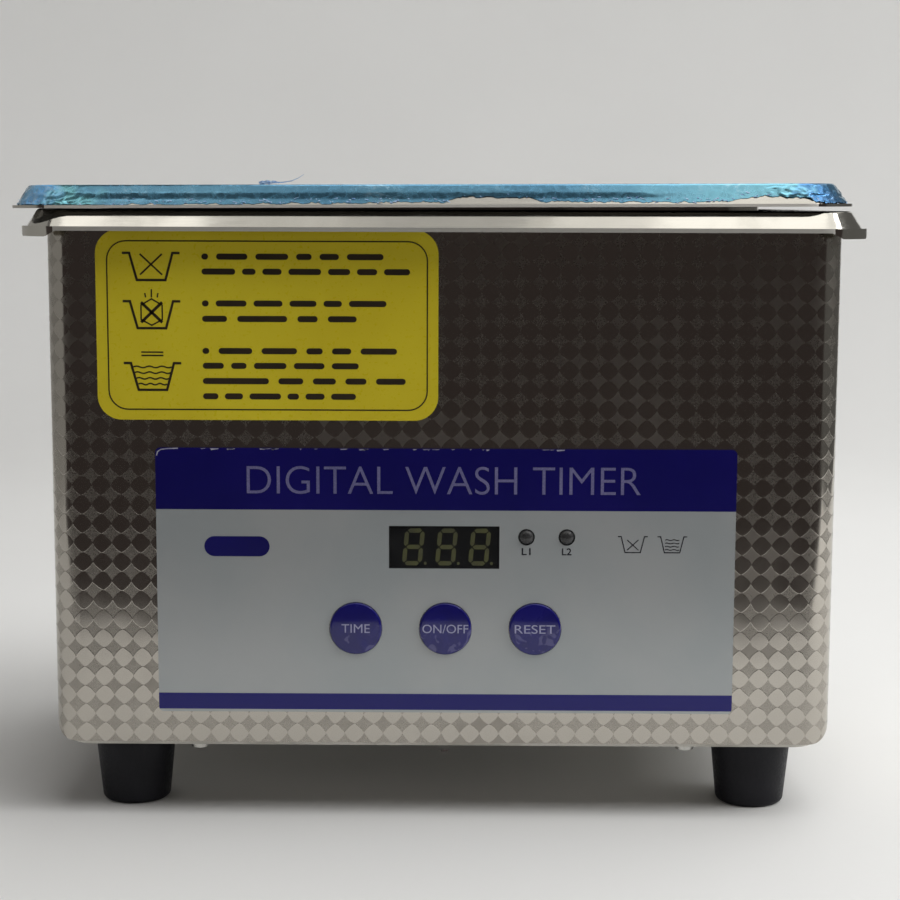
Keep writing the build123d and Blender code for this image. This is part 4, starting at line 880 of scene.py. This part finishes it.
def bowl_piece(name, keep):
    """The part of a round studio sweep whose faces pass a test."""
    profile = [(0.001, 0.0)]
    profile += [(BOWL_FLAT * i / BOWL_RINGS, 0.0) for i in range(1, BOWL_RINGS + 1)]
    for i in range(1, BOWL_BEND_RINGS + 1):
        a = math.pi / 2 * i / BOWL_BEND_RINGS
        profile.append((BOWL_FLAT + BOWL_BEND * math.sin(a), BOWL_BEND * (1 - math.cos(a))))
    profile.append((BOWL_FLAT + BOWL_BEND, BOWL_TOP))
    headings = [2 * math.pi * k / BOWL_SIDES for k in range(BOWL_SIDES)]
    points = [(r * math.cos(a), r * math.sin(a), z) for r, z in profile for a in headings]
    faces = []
    for row in range(len(profile) - 1):
        for k in range(BOWL_SIDES):
            n = (k + 1) % BOWL_SIDES
            low, high = row * BOWL_SIDES, (row + 1) * BOWL_SIDES
            face = (low + k, low + n, high + n, high + k)
            middle = sum((Vector(points[v]) for v in face), Vector()) / 4
            if keep(middle):
                faces.append(face)
    mesh = bpy.data.meshes.new(name)
    mesh.from_pydata(points, [], faces)
    mesh.polygons.foreach_set("use_smooth", [True] * len(mesh.polygons))
    mesh.materials.append(stage_finish.material)
    made = bpy.data.objects.new(name, mesh)
    scene.collection.objects.link(made)
    return made


bowl_piece("sweep_back", lambda p: p.y > TABLE_FRONT)
front_part = bowl_piece("sweep_front", lambda p: p.y <= TABLE_FRONT)
front_part.visible_glossy = False
front_part.visible_diffuse = False


def glow_card(name, centre, size, facing, strength):
    """A card that only glossy rays see."""
    mesh = bpy.data.meshes.new(name)
    w, h = size[0] / 2, size[1] / 2
    mesh.from_pydata([(-w, -h, 0), (w, -h, 0), (w, h, 0), (-w, h, 0)], [], [(0, 1, 2, 3)])
    material = bpy.data.materials.new(name)
    material.use_nodes = True
    shader = material.node_tree.nodes["Principled BSDF"]
    shader.inputs["Base Color"].default_value = (0, 0, 0, 1)
    shader.inputs["Specular IOR Level"].default_value = 0.0
    shader.inputs["Emission Color"].default_value = (*WARM, 1)
    shader.inputs["Emission Strength"].default_value = strength
    mesh.materials.append(material)
    card = bpy.data.objects.new(name, mesh)
    card.location = centre
    card.rotation_euler = (Vector(facing) - Vector(centre)).to_track_quat("Z", "Y").to_euler()
    card.visible_camera = card.visible_diffuse = card.visible_shadow = False
    card.visible_transmission = card.visible_volume_scatter = False
    scene.collection.objects.link(card)


def card_row(name, y, depth, spans):
    """Cards side by side under the ceiling box, each from a left x to a right x, with its own strength."""
    for side, left, right, strength in spans:
        x = (left + right) / 2
        glow_card(f"{name}_{side}", (x, y, CARD_LEVEL), (right - left, depth), (x, y, 0), strength)


def soft_light(name, centre, aim, size, radiance):
    """A rectangular soft box of a given brightness."""
    light = bpy.data.lights.new(name, "AREA")
    light.shape = "RECTANGLE"
    light.size, light.size_y = size
    light.energy = radiance * math.pi * size[0] * size[1]
    lamp = bpy.data.objects.new(name, light)
    lamp.location = centre
    lamp.rotation_euler = (Vector(aim) - Vector(centre)).to_track_quat("-Z", "Y").to_euler()
    scene.collection.objects.link(lamp)
    return lamp


soft_light("ceiling_box", (0.28, -0.02, 1.0), (0.24, -0.02, 0.0), (1.5, 0.85), 2.35)
soft_light("right_box", (0.8, -0.2, 0.62), (0.0, -0.1, 0.0), (0.4, 0.6), 6.0)
fill = soft_light("front_fill", (0.1, -1.0, 0.35), (0.0, 0.0, 0.03), (0.9, 0.4), 0.4)
fill.visible_glossy = False
# What the rim's front bevel reflects
card_row(
    "rim_card",
    -0.44,
    0.17,
    (
        ("far_left", -0.9, -0.17, 1.4),
        ("left", -0.17, -0.06, 0.68),
        ("middle", -0.06, 0.05, 0.5),
        ("right", 0.05, 0.13, 0.98),
        ("far_right", 0.13, 0.9, 1.52),
    ),
)
# What the lid's front bevel reflects
card_row(
    "lid_card",
    -0.275,
    0.16,
    (
        ("far_left", -0.9, -0.17, 0.85),
        ("middle", -0.17, 0.08, 0.66),
        ("far_right", 0.08, 0.9, 1.15),
    ),
)
glow_card("dark_card", (0.0, -0.775, CARD_LEVEL), (1.8, 0.5), (0.0, -0.775, 0), 0.06)
glow_card("dark_left_high", (-0.55, 0.25, 0.8), (0.8, 0.4), (0.0, 0.0, 0.13), 0.08)
glow_card("light_right_high", (0.55, 0.25, 0.8), (0.8, 0.4), (0.0, 0.0, 0.13), 0.85)
glow_card("dim_left_wall", (-0.5, 0.15, 0.3), (1.0, 0.6), (0.0, 0.15, 0.3), 0.3)
glow_card("dim_right_wall", (0.5, 0.15, 0.3), (1.0, 0.6), (0.0, 0.15, 0.3), 0.12)

world = bpy.data.worlds.new("studio")
scene.world = world
world.use_nodes = True
backdrop = world.node_tree.nodes["Background"]
backdrop.inputs["Color"].default_value = (0.044, 0.036, 0.034, 1)
backdrop.inputs["Strength"].default_value = 1.0

# The view of the photograph, fitted to the casing, the rim and the feet
camera = bpy.data.cameras.new("camera")
camera.sensor_width = 36.0
camera.lens = 77.13
camera.clip_start = 0.01
eye = bpy.data.objects.new("camera", camera)
eye.location = (0.00465, -0.4523, 0.1318)
PAN, LOOK_DOWN, ROLL = math.radians(0.449), math.radians(7.387), math.radians(0.198)
turn = Matrix.Rotation(PAN, 3, "Z") @ Matrix.Rotation(math.pi / 2 - LOOK_DOWN, 3, "X")
eye.rotation_euler = (turn @ Matrix.Rotation(ROLL, 3, "Z")).to_euler()
scene.collection.objects.link(eye)
scene.camera = eye
scene.view_settings.view_transform = "Standard"
